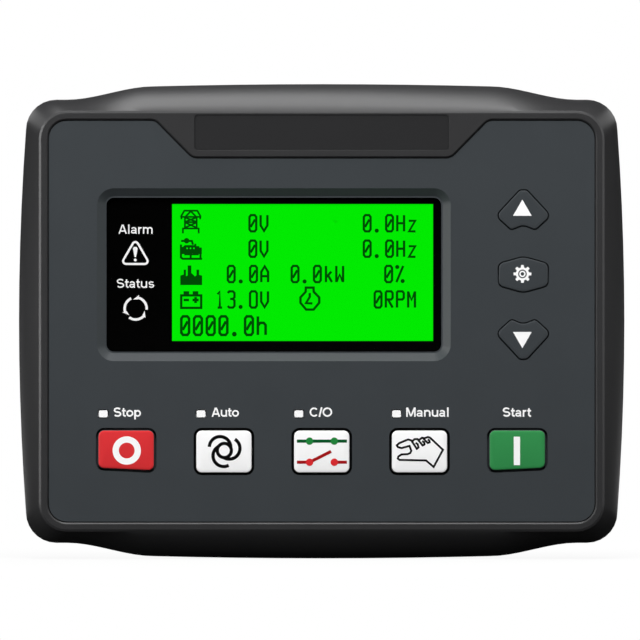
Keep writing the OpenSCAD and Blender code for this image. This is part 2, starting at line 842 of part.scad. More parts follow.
module post_holes() {
    for (at = corner_at) {
        bar(at, corner_screw_d + drop_clear, -lip_h - over, shelf_d + over);
        bar(at, corner_head_d + drop_clear, y_corner_head, shelf_d + over);
        bar(at, corner_boss_d + 2 * drop_clear, -lip_h - over, 0);
    }
    for (at = main_boss_at)
        bar(at, board_screw_d + slide_clear, y_main_back - over, y_main_back + board_bite + bit_depth);
}

module header_windows() {
    for (t = terminal_rows)
        in_row(t)
            box([for (e = [-1, 1]) e * (header_l(t) / 2 + header_clear)],
                [y_main_back - header_clear, y_main_back + header_d + header_clear],
                [block_in_z - over, block_h / 2 + over]);
}

module clip_slots() {
    for (s = clip_signs, y = hook_y)
        box([for (e = [-1, 1]) s[0] * housing_w / 2 + e * (housing_wall + over)],
            [y - hook_lip - slot_clear, y + hook_t + slot_clear],
            [for (e = [-1, 1]) s[1] * clip_z + e * (hook_w / 2 + slot_clear)]);
}

module housing_screws() color(metal_col)
    for (at = corner_at)
        screw(at, y_corner_head, -1, corner_screw_d, y_corner_head + corner_grip, corner_head_d, corner_head_h);

module panel_gasket() color(rubber_col)
    difference() {
        plate(inset(gasket_in, -gasket_w + slide_clear), -gasket_t, 0);
        plate(inset(gasket_in, -slide_clear), -gasket_t - over, over);
    }

// Terminals: a row entry t is [name, own ways, neighbour's ways, side, up or down]

function way_len(n) = n * way_pitch;
function header_l(t) = way_len(t[1]) + 2 * header_wall;
function row_x(t) = t[3] * ((way_len(t[1]) + way_len(t[2]) + plug_gap) / 2 - way_len(t[1]) / 2);
function way_x(t, i) = (i - (t[1] - 1) / 2) * way_pitch;

// Places a terminal that is drawn above the block
module in_row(t) {
    translate([row_x(t), 0, 0])
        mirror([0, 0, t[4] > 0 ? 0 : 1])
            children();
}

module header(t) color(term_col) {
    l = header_l(t);
    in_row(t) {
        difference() {
            box([-l / 2, l / 2], [y_main_back, y_main_back + header_d],
                [term_nose_z - header_out - header_in, term_nose_z]);
            box([-l / 2 + header_wall, l / 2 - header_wall],
                [y_main_back + header_wall, y_main_back + header_d - header_wall],
                [term_nose_z - nose_len - seat_clear, term_nose_z + over]);
        }
        for (i = [0:t[1] - 1])
            box([way_x(t, i) - pin_w / 2, way_x(t, i) + pin_w / 2],
                [plug_y - pin_w / 2, plug_y + pin_w / 2],
                [term_nose_z - nose_len - pin_root, term_nose_z - pin_root]);
    }
}

module plug(t) color(term_col) {
    l = way_len(t[1]);
    in_row(t)
        difference() {
            union() {
                box([-l / 2 + seat_clear, l / 2 - seat_clear],
                    [y_main_back + header_wall + seat_clear, y_main_back + header_d - header_wall - seat_clear],
                    [term_nose_z - nose_len, term_nose_z + over]);
                box([-l / 2, l / 2], [plug_y - plug_d / 2, plug_y + plug_d / 2],
                    [term_nose_z + slide_clear, term_nose_z + plug_len]);
            }
            for (i = [0:t[1] - 1])
                plug_way(way_x(t, i));
        }
}

// One way of a plug: the pin socket, the wire entry and the screw hole
module plug_way(x) {
    box([x - pin_w / 2 - seat_clear, x + pin_w / 2 + seat_clear],
        [plug_y - pin_w / 2 - seat_clear, plug_y + pin_w / 2 + seat_clear],
        [term_nose_z - nose_len - over, term_nose_z - pin_root / 2]);
    box([x - entry_w / 2, x + entry_w / 2], [for (e = [-1, 1]) plug_y - entry_drop + e * wire_h / 2],
        [term_nose_z + plug_len - entry_len, term_nose_z + plug_len + over]);
    bar([x, term_screw_z], term_screw_d + header_clear, plug_y, plug_y + plug_d);
}

module terminal_screws() color(metal_col)
    for (t = terminal_rows)
        in_row(t)
            for (i = [0:t[1] - 1])
                difference() {
                    bar([way_x(t, i), term_screw_z], term_screw_d,
                        plug_y - entry_drop + wire_h / 2, y_term_screw);
                    translate([way_x(t, i), y_term_screw, term_screw_z])
                        cube([term_screw_d + over, term_slot[0], term_slot[1]], center = true);
                }

// Fixing clips: a hooked plate on the housing's side with a boss for the jack screw

module fixing_clips() color(metal_col)
    for (s = clip_signs)
        translate([0, 0, s[1] * clip_z])
            mirror([s[0] > 0 ? 0 : 1, 0, 0])
                clip();

module clip() {
    hook_x = [clip_x - housing_wall - hook_in, clip_x - housing_wall - hook_clear];
    boss_x = [clip_x + clip_t - boss_root, jack_x + jack_wall];
    boss = rounded([[boss_x[0], -clip_w / 2], [boss_x[1], -clip_w / 2],
        [boss_x[1], clip_w / 2], [boss_x[0], clip_w / 2]], [slot_clear, boss_r, boss_r, slot_clear]);
    difference() {
        union() {
            box([clip_x, clip_x + clip_t], [clip_y0, clip_y1], [-clip_w / 2, clip_w / 2]);
            plate(boss, jack_boss[0], jack_boss[1]);
        }
        bar([jack_x, 0], jack_d + 2 * slide_clear, jack_boss[0] - over, jack_boss[1] + over);
    }
    for (y = hook_y) {
        box([hook_x[0], clip_x + over], [y, y + hook_t], [-hook_w / 2, hook_w / 2]);
        box(hook_x, [y, y + hook_t + hook_lip], [-hook_w / 2, hook_w / 2]);
    }
}

function jack_at(i) = [clip_signs[i][0] * jack_x, clip_signs[i][1] * clip_z];

module clip_screw(i) color(metal_col) {
    tip = foot_y + foot_floor + slide_clear;
    bar(jack_at(i), jack_d, tip, tip + jack_len + eps);
    difference() {
        bar(jack_at(i), jack_head_d, tip + jack_len, tip + jack_len + jack_head_h);
        translate([jack_at(i)[0], tip + jack_len + jack_head_h, jack_at(i)[1]])
            cube([jack_head_d + over, jack_head_h, jack_slot], center = true);
    }
}

module clip_foot(i) color(rubber_col)
    difference() {
        bar(jack_at(i), foot_d, foot_y, foot_y + foot_h);
        bar(jack_at(i), jack_d + 2 * slide_clear, foot_y + foot_floor, foot_y + foot_h + over);
    }

front_bezel();
front_panel();
name_inlay();
display_lens();
lens_seal();
key(0, "#d22f32");  // stop_key
key(1, white_col);  // auto_key
key(2, white_col);  // breaker_key
key(3, white_col);  // manual_key
key(4, "#2f8446");  // start_key
key(5, panel_col);  // up_key
key(6, panel_col);  // menu_key
key(7, panel_col);  // down_key
plunger(0);  // stop_plunger
plunger(1);  // auto_plunger
plunger(2);  // breaker_plunger
plunger(3);  // manual_plunger
plunger(4);  // start_plunger
plunger(5);  // up_plunger
plunger(6);  // menu_plunger
plunger(7);  // down_plunger
lamp(0);  // stop_lamp
lamp(1);  // auto_lamp
lamp(2);  // breaker_lamp
lamp(3);  // manual_lamp
switch_bodies();
indicator_leds();
lcd_frame();
lcd_glass();
lcd_backlight();
keypad_board();
keypad_screws();
processor();
board_link();
main_board();
main_screws();
relays();
capacitors();
rear_housing();
housing_screws();
panel_gasket();
header(terminal_rows[0]);  // top_left_header
header(terminal_rows[1]);  // top_right_header
header(terminal_rows[2]);  // low_left_header
header(terminal_rows[3]);  // low_right_header
plug(terminal_rows[0]);  // top_left_plug
plug(terminal_rows[1]);  // top_right_plug
plug(terminal_rows[2]);  // low_left_plug
plug(terminal_rows[3]);  // low_right_plug
terminal_screws();
fixing_clips();
clip_screw(0);  // clip_screw_1
clip_screw(1);  // clip_screw_2
clip_screw(2);  // clip_screw_3
clip_screw(3);  // clip_screw_4
clip_foot(0);  // clip_foot_1
clip_foot(1);  // clip_foot_2
clip_foot(2);  // clip_foot_3
clip_foot(3);  // clip_foot_4
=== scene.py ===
"""Looks of a panel-mounted genset controller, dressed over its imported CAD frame.

Lengths are written in millimetres in the part's own frame: X to the right, Y into the switchboard
and Z up. Prints are flat solids a few hundredths of a millimetre thick that lie on the moulding
which carries them and ride on its body. Places on the front are written in pixels of the photograph.
"""

from __future__ import annotations

import logging
import math
from dataclasses import dataclass, field
from enum import Enum
from typing import Any, Callable, ClassVar, Sequence

import bmesh
import bpy
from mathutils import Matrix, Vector
from mathutils.geometry import tessellate_polygon

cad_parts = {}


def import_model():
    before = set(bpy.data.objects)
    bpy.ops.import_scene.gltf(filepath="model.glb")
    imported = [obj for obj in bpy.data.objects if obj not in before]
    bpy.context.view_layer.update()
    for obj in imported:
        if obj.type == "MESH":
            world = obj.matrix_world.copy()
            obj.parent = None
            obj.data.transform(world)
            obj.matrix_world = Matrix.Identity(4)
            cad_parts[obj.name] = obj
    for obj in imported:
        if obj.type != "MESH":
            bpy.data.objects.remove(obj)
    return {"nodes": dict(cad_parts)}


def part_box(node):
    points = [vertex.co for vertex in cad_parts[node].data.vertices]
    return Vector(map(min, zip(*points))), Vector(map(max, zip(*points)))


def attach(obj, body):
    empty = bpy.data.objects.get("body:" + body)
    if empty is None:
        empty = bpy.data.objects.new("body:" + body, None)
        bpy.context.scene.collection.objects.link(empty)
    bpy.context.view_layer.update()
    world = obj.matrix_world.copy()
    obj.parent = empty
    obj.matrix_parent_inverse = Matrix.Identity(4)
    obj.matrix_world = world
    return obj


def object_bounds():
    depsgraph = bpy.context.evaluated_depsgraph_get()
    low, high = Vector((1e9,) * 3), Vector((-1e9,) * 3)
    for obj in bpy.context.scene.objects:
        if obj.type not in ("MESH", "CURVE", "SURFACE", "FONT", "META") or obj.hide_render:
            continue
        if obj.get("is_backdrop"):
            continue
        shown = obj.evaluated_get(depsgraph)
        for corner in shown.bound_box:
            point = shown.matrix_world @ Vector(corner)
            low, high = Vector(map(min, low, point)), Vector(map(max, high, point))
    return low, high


LOG = logging.getLogger("genset_controller")

MM = 0.001
# Height of a print above the face that carries it
INK_MM = 0.03
# Parts of one print that cross lie on so many layers, this far apart
LAYERS = 6
LAYER_MM = 0.003
# Squared mean of two sides' normals under which a sharp corner of a line is cut short
SHARPEST_MITRE = 0.3
# One pixel of the photograph at the bezel, and the pixel that shows the part's origin
PIXEL_MM = 0.3442
ORIGIN_PIXEL = (321.7, 321.3)

Pair = tuple[float, float]
Point = tuple[float, float]
Triple = tuple[float, float, float]
Loop = list[Point]
Tree = bpy.types.NodeTree
Node = bpy.types.Node
Socket = bpy.types.NodeSocket
Piece = bpy.types.Object


def spot(x: float, y: float) -> Point:
    """Place on the front, (x, z) in mm, of a pixel of the photograph."""
    return (x - ORIGIN_PIXEL[0]) * PIXEL_MM, (ORIGIN_PIXEL[1] - y) * PIXEL_MM


def spots(pixels: Sequence[Point]) -> Loop:
    """Places on the front of several pixels of the photograph."""
    return [spot(*pixel) for pixel in pixels]


def linear(colour: str, share: float = 1.0) -> tuple[float, float, float, float]:
    """Turn an sRGB hex colour into linear light.

    Args:
        colour: Six hex digits after a hash sign.
        share: Factor that dims or lifts it.

    Returns:
        Linear red, green and blue, and an alpha of 1.
    """
    parts = [int(colour[i : i + 2], 16) / 255 for i in (1, 3, 5)]
    red, green, blue = (c / 12.92 if c <= 0.04045 else ((c + 0.055) / 1.055) ** 2.4 for c in parts)
    return red * share, green * share, blue * share, 1.0


def bare_tree(owner: bpy.types.Material | bpy.types.World) -> Tree:
    """Empty node tree of a new material or world."""
    owner.use_nodes = True
    owner.node_tree.nodes.clear()
    return owner.node_tree


def add_node(
    tree: Tree,
    kind: str,
    settings: dict[str | int, Any] | None = None,
    links: dict[str | int, Socket | Node] | None = None,
) -> Node:
    """Add a node with its settings and its links.

    Args:
        tree: The node tree that it goes into.
        kind: Blender's name of the node's type.
        settings: Values by input name or number, or by the node's own property.
        links: Sources by input name or number. A node stands for its first output.

    Returns:
        The new node.
    """
    node = tree.nodes.new(kind)
    for name, value in (settings or {}).items():
        if isinstance(name, str) and name.islower():
            setattr(node, name, value)
        else:
            node.inputs[name].default_value = value
    for name, source in (links or {}).items():
        tree.links.new(source.outputs[0] if isinstance(source, Node) else source, node.inputs[name])
    return node


# Finishes


@dataclass(frozen=True)
class Finish:
    """A surface finish, named for the real material and how its surface was made."""

    name: str
    colour: str
    roughness: float
    ior: float = 1.5
    specular: float = 0.5

    # Change of roughness over small patches of the surface, and the noise that they follow
    SPREAD: ClassVar[Pair] = (-0.04, 0.04)
    NOISE: ClassVar[dict[str, float]] = {}

    def wire(self, tree: Tree, shader: Node) -> None:
        """Add the finish's own pattern to the shader.

        Args:
            tree: The material's node tree.
            shader: Its Principled shader, with the plain values set.
        """

    def patch_gloss(self, tree: Tree, shader: Node, size_mm: float) -> Node:
        """Let the gloss differ in small patches, as the making of the surface leaves it.

        Args:
            tree: The material's node tree.
            shader: Its Principled shader.
            size_mm: Size of a patch.

        Returns:
            The noise that the patches follow.
        """
        place = add_node(tree, "ShaderNodeNewGeometry")
        scale = {"Scale": 1 / (size_mm * MM)}
        noise = add_node(tree, "ShaderNodeTexNoise", scale | self.NOISE, {"Vector": place})
        low, high = (self.roughness + change for change in self.SPREAD)
        gloss = add_node(tree, "ShaderNodeMapRange", {"To Min": low, "To Max": high}, {"Value": noise})
        tree.links.new(gloss.outputs[0], shader.inputs["Roughness"])
        return noise

    def build(self) -> bpy.types.Material:
        """Make the material, or fetch it if it is made already.

        Returns:
            The material.
        """
        made = bpy.data.materials.get(self.name)
        if made:
            return made
        material = bpy.data.materials.new(self.name)
        tree = bare_tree(material)
        plain = {
            "Base Color": linear(self.colour),
            "Roughness": self.roughness,
            "IOR": self.ior,
            "Specular IOR Level": self.specular,
        }
        shader = add_node(tree, "ShaderNodeBsdfPrincipled", plain)
        add_node(tree, "ShaderNodeOutputMaterial", links={"Surface": shader})
        self.wire(tree, shader)
        return material


@dataclass(frozen=True)
class Moulding(Finish):
    """A moulded plastic or rubber: a spark-eroded grain, and a colour that clouds very slightly."""

    grain_mm: float = 0.45
    grain_depth_mm: float = 0.01
    cloud_mm: float = 14.0
    cloud: float = 0.06
    edge_mm: float = 0.0

    SPREAD: ClassVar[Pair] = (-0.05, 0.05)
    NOISE: ClassVar[dict[str, float]] = {"Roughness": 0.6}

    def wire(self, tree: Tree, shader: Node) -> None:
        """Add grain, clouding and the rounding of a moulded edge.

        Args:
            tree: The material's node tree.
            shader: Its Principled shader.
        """
        grain = self.patch_gloss(tree, shader, self.grain_mm)
        place = add_node(tree, "ShaderNodeNewGeometry")
        cloudy = {"Scale": 1 / (self.cloud_mm * MM), "Detail": 3.0}
        cloud = add_node(tree, "ShaderNodeTexNoise", cloudy, {"Vector": place})
        ends = {6: linear(self.colour, 1 - self.cloud), 7: linear(self.colour, 1 + self.cloud)}
        tint = add_node(tree, "ShaderNodeMix", {"data_type": "RGBA", **ends}, {0: cloud})
        depth = {"Strength": 0.5, "Distance": self.grain_depth_mm * MM}
        bump = add_node(tree, "ShaderNodeBump", depth, {"Height": grain})
        if self.edge_mm:
            edge = add_node(tree, "ShaderNodeBevel", {"samples": 4, "Radius": self.edge_mm * MM})
            tree.links.new(edge.outputs[0], bump.inputs["Normal"])
        tree.links.new(bump.outputs[0], shader.inputs["Normal"])
        self.tint(tree, shader, tint.outputs[2])

    def tint(self, tree: Tree, shader: Node, colour: Socket) -> None:
        """Colour the shader."""
        tree.links.new(colour, shader.inputs["Base Color"])


@dataclass(frozen=True)
class TwoShot(Moulding):
    """A key cap of coloured silicone whose sides behind a set depth are painted darker, as painted shade
    of the gap around it.
    """

    # Colour of the painted shade on the cap's sides, standing for the shade in its gap
    web: str = "#0e0f10"
    # Depth along Y, on the rounding of the cap's edge, behind which the cap's sides are painted with the
    # gap's shade
    joint_mm: float = -11.72

    def tint(self, tree: Tree, shader: Node, colour: Socket) -> None:
        """Colour the cap, and paint the gap's shade on its sides behind a set depth.

        Args:
            tree: The material's node tree.
            shader: Its Principled shader.
            colour: The cap's clouded colour.
        """
        place = add_node(tree, "ShaderNodeTexCoord").outputs["Object"]
        depth = add_node(tree, "ShaderNodeSeparateXYZ", links={0: place}).outputs["Y"]
        # Behind the set depth the cap's colour gives way to painted shade of the gap
        shade_line = {"operation": "GREATER_THAN", 1: self.joint_mm * MM}
        behind = add_node(tree, "ShaderNodeMath", shade_line, {0: depth})
        web = {"data_type": "RGBA", 7: linear(self.web)}
        both = add_node(tree, "ShaderNodeMix", web, {0: behind, 6: colour})
        tree.links.new(both.outputs[2], shader.inputs["Base Color"])


@dataclass(frozen=True)
class Ink(Finish):
    """Screen-printed ink: an even field whose thickness shows as a faint change of gloss."""

    mesh_mm: float = 0.6

    def wire(self, tree: Tree, shader: Node) -> None:
        """Add the mark that the printing screen leaves."""
        self.patch_gloss(tree, shader, self.mesh_mm)


@dataclass(frozen=True)
class ClearSheet(Finish):
    """A thin clear sheet, see-through with a trace of gloss and fine wiping haze."""

    cover: float = 0.06
    haze_mm: float = 9.0

    SPREAD: ClassVar[Pair] = (0.0, 0.06)
    NOISE: ClassVar[dict[str, float]] = {"Detail": 4.0}

    def wire(self, tree: Tree, shader: Node) -> None:
        """Make the sheet clear and haze its gloss."""
        shader.inputs["Alpha"].default_value = self.cover
        self.patch_gloss(tree, shader, self.haze_mm)


@dataclass(frozen=True)
class LitCell(Finish):
    """A cell that is lit from behind: it glows evenly, a little less between the light's dots."""

    glow: float = 1.0
    dim: float = 0.97
    dot_mm: float = 0.5

    def wire(self, tree: Tree, shader: Node) -> None:
        """Add the glow and the fine unevenness of the light guide.

        Args:
            tree: The material's node tree.
            shader: Its Principled shader.
        """
        shader.inputs["Base Color"].default_value = linear("#000000")
        shader.inputs["Emission Strength"].default_value = self.glow
        place = add_node(tree, "ShaderNodeNewGeometry")
        scale = {"Scale": 1 / (self.dot_mm * MM)}
        dots = add_node(tree, "ShaderNodeTexNoise", scale, {"Vector": place})
        ends = {6: linear(self.colour, self.dim), 7: linear(self.colour)}
        tint = add_node(tree, "ShaderNodeMix", {"data_type": "RGBA", **ends}, {0: dots})
        tree.links.new(tint.outputs[2], shader.inputs["Emission Color"])


@dataclass(frozen=True)
class PlatedSteel(Finish):
    """Zinc-plated or tinned steel: bright metal with the fine lines of its drawing or turning."""

    line_mm: float = 0.25

    SPREAD: ClassVar[Pair] = (-0.08, 0.08)
    NOISE: ClassVar[dict[str, float]] = {"Detail": 3.0}

    def wire(self, tree: Tree, shader: Node) -> None:
        """Add metal and its tool lines."""
        shader.inputs["Metallic"].default_value = 1.0
        self.patch_gloss(tree, shader, self.line_mm)


# Black ABS, moulded in a fine-eroded tool: a soft sheen on the slopes, none of it mirror-like.
# The grain of a real tool is near 0.1 mm and is drawn at 0.45 mm so that it shows.
CASE_ABS = Moulding("moulded_black_abs", "#303031", 0.34, ior=1.54, edge_mm=0.25)
# Slate silicone rubber, moulded flat and matt: it takes almost no highlight
PANEL_SILICONE = Moulding("moulded_slate_silicone", "#393d40", 0.39, ior=1.41, grain_depth_mm=0.006)
# Coloured silicone caps: even, saturated and nearly matt. Each has painted shade of its gap on its
# sides, near black on the white caps and a lighter slate on the red and green ones
RED_SILICONE = TwoShot("moulded_red_silicone", "#d22f33", 0.5, ior=1.41, cloud=0.02, web="#3c4043")
WHITE_SILICONE = TwoShot("moulded_white_silicone", "#f6f6f6", 0.5, ior=1.41, cloud=0.01)
GREEN_SILICONE = TwoShot(
    "moulded_green_silicone", "#2f8548", 0.5, ior=1.41, cloud=0.02, web="#3c4043"
)
# Black EPDM rubber of gasket, seal and feet: dull and even
SEAL_RUBBER = Moulding("moulded_black_epdm", "#161616", 0.75, specular=0.3)
# Smooth black polycarbonate film of the name place: a shade darker than the case
NAME_FILM = Moulding("matt_black_polycarbonate_film", "#242425", 0.5, ior=1.58, specular=0.3)
# Acrylic lens, cast and hard-coated: clear, so the black print behind it is what shows
LENS_ACRYLIC = ClearSheet("cast_clear_acrylic", "#050505", 0.06, ior=1.49)
# Black ink on the back of the lens: deep black with the gloss of the acrylic over it
MASK_INK = Ink("gloss_black_lens_ink", "#020202", 0.1, specular=0.25)
# Screen inks on silicone, plastic and film: flat and matt, with crisp edges
WHITE_INK = Ink("white_screen_ink", "#f8f8f8", 0.55)
BLACK_INK = Ink("black_screen_ink", "#030303", 0.5, specular=0.15)
RED_INK = Ink("red_screen_ink", "#d32b2f", 0.5, specular=0.15)
GREEN_INK = Ink("green_screen_ink", "#20803a", 0.5, specular=0.15)
DARK_RED_INK = Ink("crimson_screen_ink", "#9c1116", 0.5, specular=0.15)
DARK_GREEN_INK = Ink("forest_screen_ink", "#045024", 0.5, specular=0.15)
# Liquid-crystal cell over green light: an even bright green, with dark green dots where it shuts
LCD_GREEN = LitCell("backlit_green_lcd_cell", "#02f902", 0.3, specular=0.0)
LCD_DARK = LitCell("shut_green_lcd_dots", "#004f06", 0.3, specular=0.0, dot_mm=0.3)
# Frosted light guide of a lamp: milky white
LAMP_WHITE = Moulding("frosted_white_polycarbonate", "#fafafa", 0.45, specular=0.3, cloud=0.01)
# Zinc plate on turned screws, a bright bluish grey, and tin on pressed sheet, a little smoother
ZINC_STEEL = PlatedSteel("zinc_plated_steel", "#c9ccd0", 0.32)
TIN_STEEL = PlatedSteel("tinned_steel_sheet", "#bfc1c4", 0.28, line_mm=0.4)
# Glass-reinforced nylon of terminals and clips: slightly rough from its fibres
TERMINAL_NYLON = Moulding("glass_filled_green_nylon", "#2f9150", 0.5, ior=1.53, grain_mm=0.35)
CLIP_NYLON = Moulding("glass_filled_black_nylon", "#242425", 0.52, ior=1.53, grain_mm=0.35)
# Solder mask over copper: a glossy green that clouds where tracks run under it
BOARD_MASK = Moulding("green_solder_mask", "#1c6a38", 0.3, grain_mm=0.8, cloud_mm=3.0, cloud=0.2)
# Cases of the boards' parts: plain moulded plastics, and a sleeve that is shrunk on smooth
RELAY_PBT = Moulding("moulded_blue_pbt", "#2b56a6", 0.4)
CHIP_EPOXY = Moulding("moulded_black_epoxy", "#1a1a1b", 0.55)
CAN_SLEEVE = Moulding("shrunk_black_pvc_sleeve", "#202226", 0.35)


# Flat shapes


@dataclass
class Shape:
    """A flat area in mm: an outer loop of (x, z) points, and loops for its holes."""

    outer: Loop
    holes: list[Loop] = field(default_factory=list)

    def mapped(self, put: Callable[[Point], Point]) -> Shape:
        """A copy with each of its points put elsewhere."""
        outer, *holes = ([put(point) for point in loop] for loop in (self.outer, *self.holes))
        return Shape(outer, holes)

    def moved(self, by: Point, scale: float = 1.0) -> Shape:
        """A copy that is scaled and then shifted by so many mm."""
        return self.mapped(lambda p: (p[0] * scale + by[0], p[1] * scale + by[1]))

    def mirrored(self) -> Shape:
        """The shape as it is printed to be read from behind."""
        return self.mapped(lambda p: (-p[0], p[1]))


def polar(centre: Point, radius: float, angle: float) -> Point:
    """Point at a distance from a centre, at an angle in degrees from the right."""
    turn = math.radians(angle)
    return centre[0] + radius * math.cos(turn), centre[1] + radius * math.sin(turn)


def arc(centre: Point, radius: float, start: float, end: float, steps: int) -> Loop:
    """Points along an arc.

    Args:
        centre: Its centre in mm.
        radius: Its radius in mm.
        start: The first angle in degrees.
        end: The last angle in degrees.
        steps: The number of chords.

    Returns:
        steps + 1 points.
    """
    return [polar(centre, radius, start + (end - start) * k / steps) for k in range(steps + 1)]


def bow(centre: Point, half: Point, start: float, end: float, steps: int = 14) -> Loop:
    """Points along part of an ellipse.

    Args:
        centre: Its middle.
        half: Half of its width and height.
        start: First angle in degrees, anticlockwise from the right.
        end: Last angle.
        steps: Chords between them.

    Returns:
        The points.
    """
    turn = arc((0.0, 0.0), 1.0, start, end, steps)
    return [(centre[0] + half[0] * x, centre[1] + half[1] * z) for x, z in turn]


def circle(centre: Point, radius: float, steps: int) -> Loop:
    """Points around a circle."""
    return arc(centre, radius, 0, 360, steps)[:-1]


def disc(centre: Point, radius: float, steps: int = 28) -> Shape:
    """A filled circle."""
    return Shape(circle(centre, radius, steps))


def annulus(centre: Point, outer: float, inner: float, steps: int = 56) -> Shape:
    """A ring between two radii."""
    return Shape(circle(centre, outer, steps), [circle(centre, inner, steps)])


def rectangle(low: Point, high: Point) -> Loop:
    """Corners of a rectangle, from its lower left one to its upper left one."""
    return [low, (high[0], low[1]), high, (low[0], high[1])]


def beside(path: Sequence[Point], shift: float, closed: bool) -> Loop:
    """A path moved to its left by mitred joints.

    Args:
        path: Its points in mm.
        shift: The distance in mm, negative to its right.
        closed: Whether the last point joins the first.

    Returns:
        As many points as the path has.
    """
    moved: Loop = []
    count = len(path)
    for i, here in enumerate(path):
        before = path[i - 1] if closed or i else None
        after = path[(i + 1) % count] if closed or i < count - 1 else None
        normals = []
        for a, b in ((before, here), (here, after)):
            if a is not None and b is not None:
                run = Vector(b) - Vector(a)
                normals.append(Vector((-run.y, run.x)).normalized())
        mitre = sum(normals, Vector((0, 0))) / len(normals)
        mitre /= max(mitre.length_squared, SHARPEST_MITRE)
        moved.append((here[0] + mitre.x * shift, here[1] + mitre.y * shift))
    return moved


def eased(corners: Sequence[Point], radius: float, steps: int = 5) -> Loop:
    """A closed outline with each of its corners rounded.

    Args:
        corners: The outline's corners in mm.
        radius: Of the rounding in mm.
        steps: Chords on each corner.

    Returns:
        The rounded outline.
    """
    loop: Loop = []
    for i, corner in enumerate(corners):
        here = Vector(corner)
        back = (Vector(corners[i - 1]) - here).normalized()
        ahead = (Vector(corners[(i + 1) % len(corners)]) - here).normalized()
        half = back.angle(ahead) / 2
        centre = here + (back + ahead).normalized() * radius / math.sin(half)
        first = here + back * radius / math.tan(half) - centre
        last = here + ahead * radius / math.tan(half) - centre
        # A slerp gives a direction of length 1
        turns = (first.slerp(last, k / steps) for k in range(steps + 1))
        loop += [tuple(centre + turn * radius) for turn in turns]
    return loop


def stroke(path: Sequence[Point], width: float, closed: bool = False) -> Shape:
    """A line of even width along a path.

    Args:
        path: Its points in mm.
        width: The line's width in mm.
        closed: Whether it runs back to its start.

    Returns:
        The line's area.
    """
    left, right = beside(path, width / 2, closed), beside(path, -width / 2, closed)
    if not closed:
        return Shape(left + right[::-1])

    def area(loop: Loop) -> float:
        """Twice the area in a loop, whichever way it runs."""
        pairs = zip(loop, loop[1:] + loop[:1])
        return abs(sum(a[0] * b[1] - b[0] * a[1] for a, b in pairs))

    inner, outer = sorted((left, right), key=area)
    return Shape(outer, [inner])


# Meshes


def link(name: str, mesh: bpy.types.Mesh) -> Piece:
    """Put a mesh into the scene as an object of that name."""
    piece = bpy.data.objects.new(name, mesh)
    bpy.context.scene.collection.objects.link(piece)
    return piece


def solid(name: str, build: bmesh.types.BMesh) -> Piece:
    """Turn a closed mesh the right way out and put it into the scene.

    Args:
        name: The new object's name.
        build: The mesh, which is freed.

    Returns:
        The new object.
    """
    bmesh.ops.recalc_face_normals(build, faces=build.faces)
    mesh = bpy.data.meshes.new(name)
    build.to_mesh(mesh)
    build.free()
    return link(name, mesh)


def slab(name: str, shapes: Sequence[Shape], front: float, back: float) -> Piece:
    """Flat solids of even thickness, upright and facing the viewer.

    Args:
        name: The new object's name.
        shapes: Their areas in mm.
        front: Depth of the front face along Y in mm.
        back: Depth of the rear face in mm.

    Returns:
        The new object.
    """
    build = bmesh.new()
    for i, shape in enumerate(shapes):
        loops = [shape.outer, *shape.holes]
        flat = [[Vector((x, z, 0)) for x, z in loop] for loop in loops]
        # Shapes that cross lie at slightly different heights, so that no two faces share a plane
        face = (front + (i % LAYERS) * LAYER_MM) * MM
        near = [build.verts.new((x * MM, face, z * MM)) for loop in loops for x, z in loop]
        far = [build.verts.new((x * MM, back * MM, z * MM)) for loop in loops for x, z in loop]
        for a, b, c in tessellate_polygon(flat):
            build.faces.new((near[a], near[b], near[c]))
            build.faces.new((far[c], far[b], far[a]))
        start = 0
        for loop in loops:
            for k in range(len(loop)):
                a, b = start + k, start + (k + 1) % len(loop)
                build.faces.new((near[a], near[b], far[b], far[a]))
            start += len(loop)
    return solid(name, build)


def coat(piece: Piece, finish: Finish) -> None:
    """Give a piece a finish in place of any other."""
    piece.data.materials.clear()
    piece.data.materials.append(finish.build())


def finish_piece(piece: Piece, finish: Finish, body: str) -> None:
    """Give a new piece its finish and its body.

    Args:
        piece: The piece.
        finish: Its surface.
        body: The CAD body that carries it.
    """
    coat(piece, finish)
    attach(piece, body)
    LOG.info("made %s on %s", piece.name, body)


def front_of(node: str) -> float:
    """Depth in mm of a CAD node's foremost point."""
    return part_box(node)[0].y / MM


def back_of(node: str) -> float:
    """Depth in mm of a CAD node's rearmost point."""
    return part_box(node)[1].y / MM


@dataclass(frozen=True)
class Softener:
    """Joins a CAD node's facets and shades them as the smooth faces that they stand for."""

    # Facets that meet at a smaller angle belong to one curved face
    angle_deg: float
    weld_mm: float = 0.002

    def group(self) -> Tree:
        """The geometry node group that does it, made once for each angle.

        Returns:
            The group.
        """
        name = f"smooth_faces_{self.angle_deg:.0f}"
        made = bpy.data.node_groups.get(name)
        if made:
            return made
        tree = bpy.data.node_groups.new(name, "GeometryNodeTree")
        for side in ("INPUT", "OUTPUT"):
            tree.interface.new_socket("Geometry", in_out=side, socket_type="NodeSocketGeometry")
        source = add_node(tree, "NodeGroupInput")
        near = {"Distance": self.weld_mm * MM}
        weld = add_node(tree, "GeometryNodeMergeByDistance", near, {"Geometry": source})
        shade = "GeometryNodeSetShadeSmooth"
        smooth = add_node(tree, shade, {"domain": "FACE", "Shade Smooth": True}, {"Geometry": weld})
        angle = add_node(tree, "GeometryNodeInputMeshEdgeAngle")
        limit = {"data_type": "FLOAT", "operation": "GREATER_THAN", 1: math.radians(self.angle_deg)}
        sharp = add_node(tree, "FunctionNodeCompare", limit, {0: angle})
        edges = {"domain": "EDGE", "Shade Smooth": False}
        crisp = add_node(tree, shade, edges, {"Geometry": smooth, "Selection": sharp})
        add_node(tree, "NodeGroupOutput", links={0: crisp})
        return tree

    def apply(self, node: Piece) -> None:
        """Add the group to a node as a modifier."""
        node.modifiers.new("smooth_faces", "NODES").node_group = self.group()


# Lettering


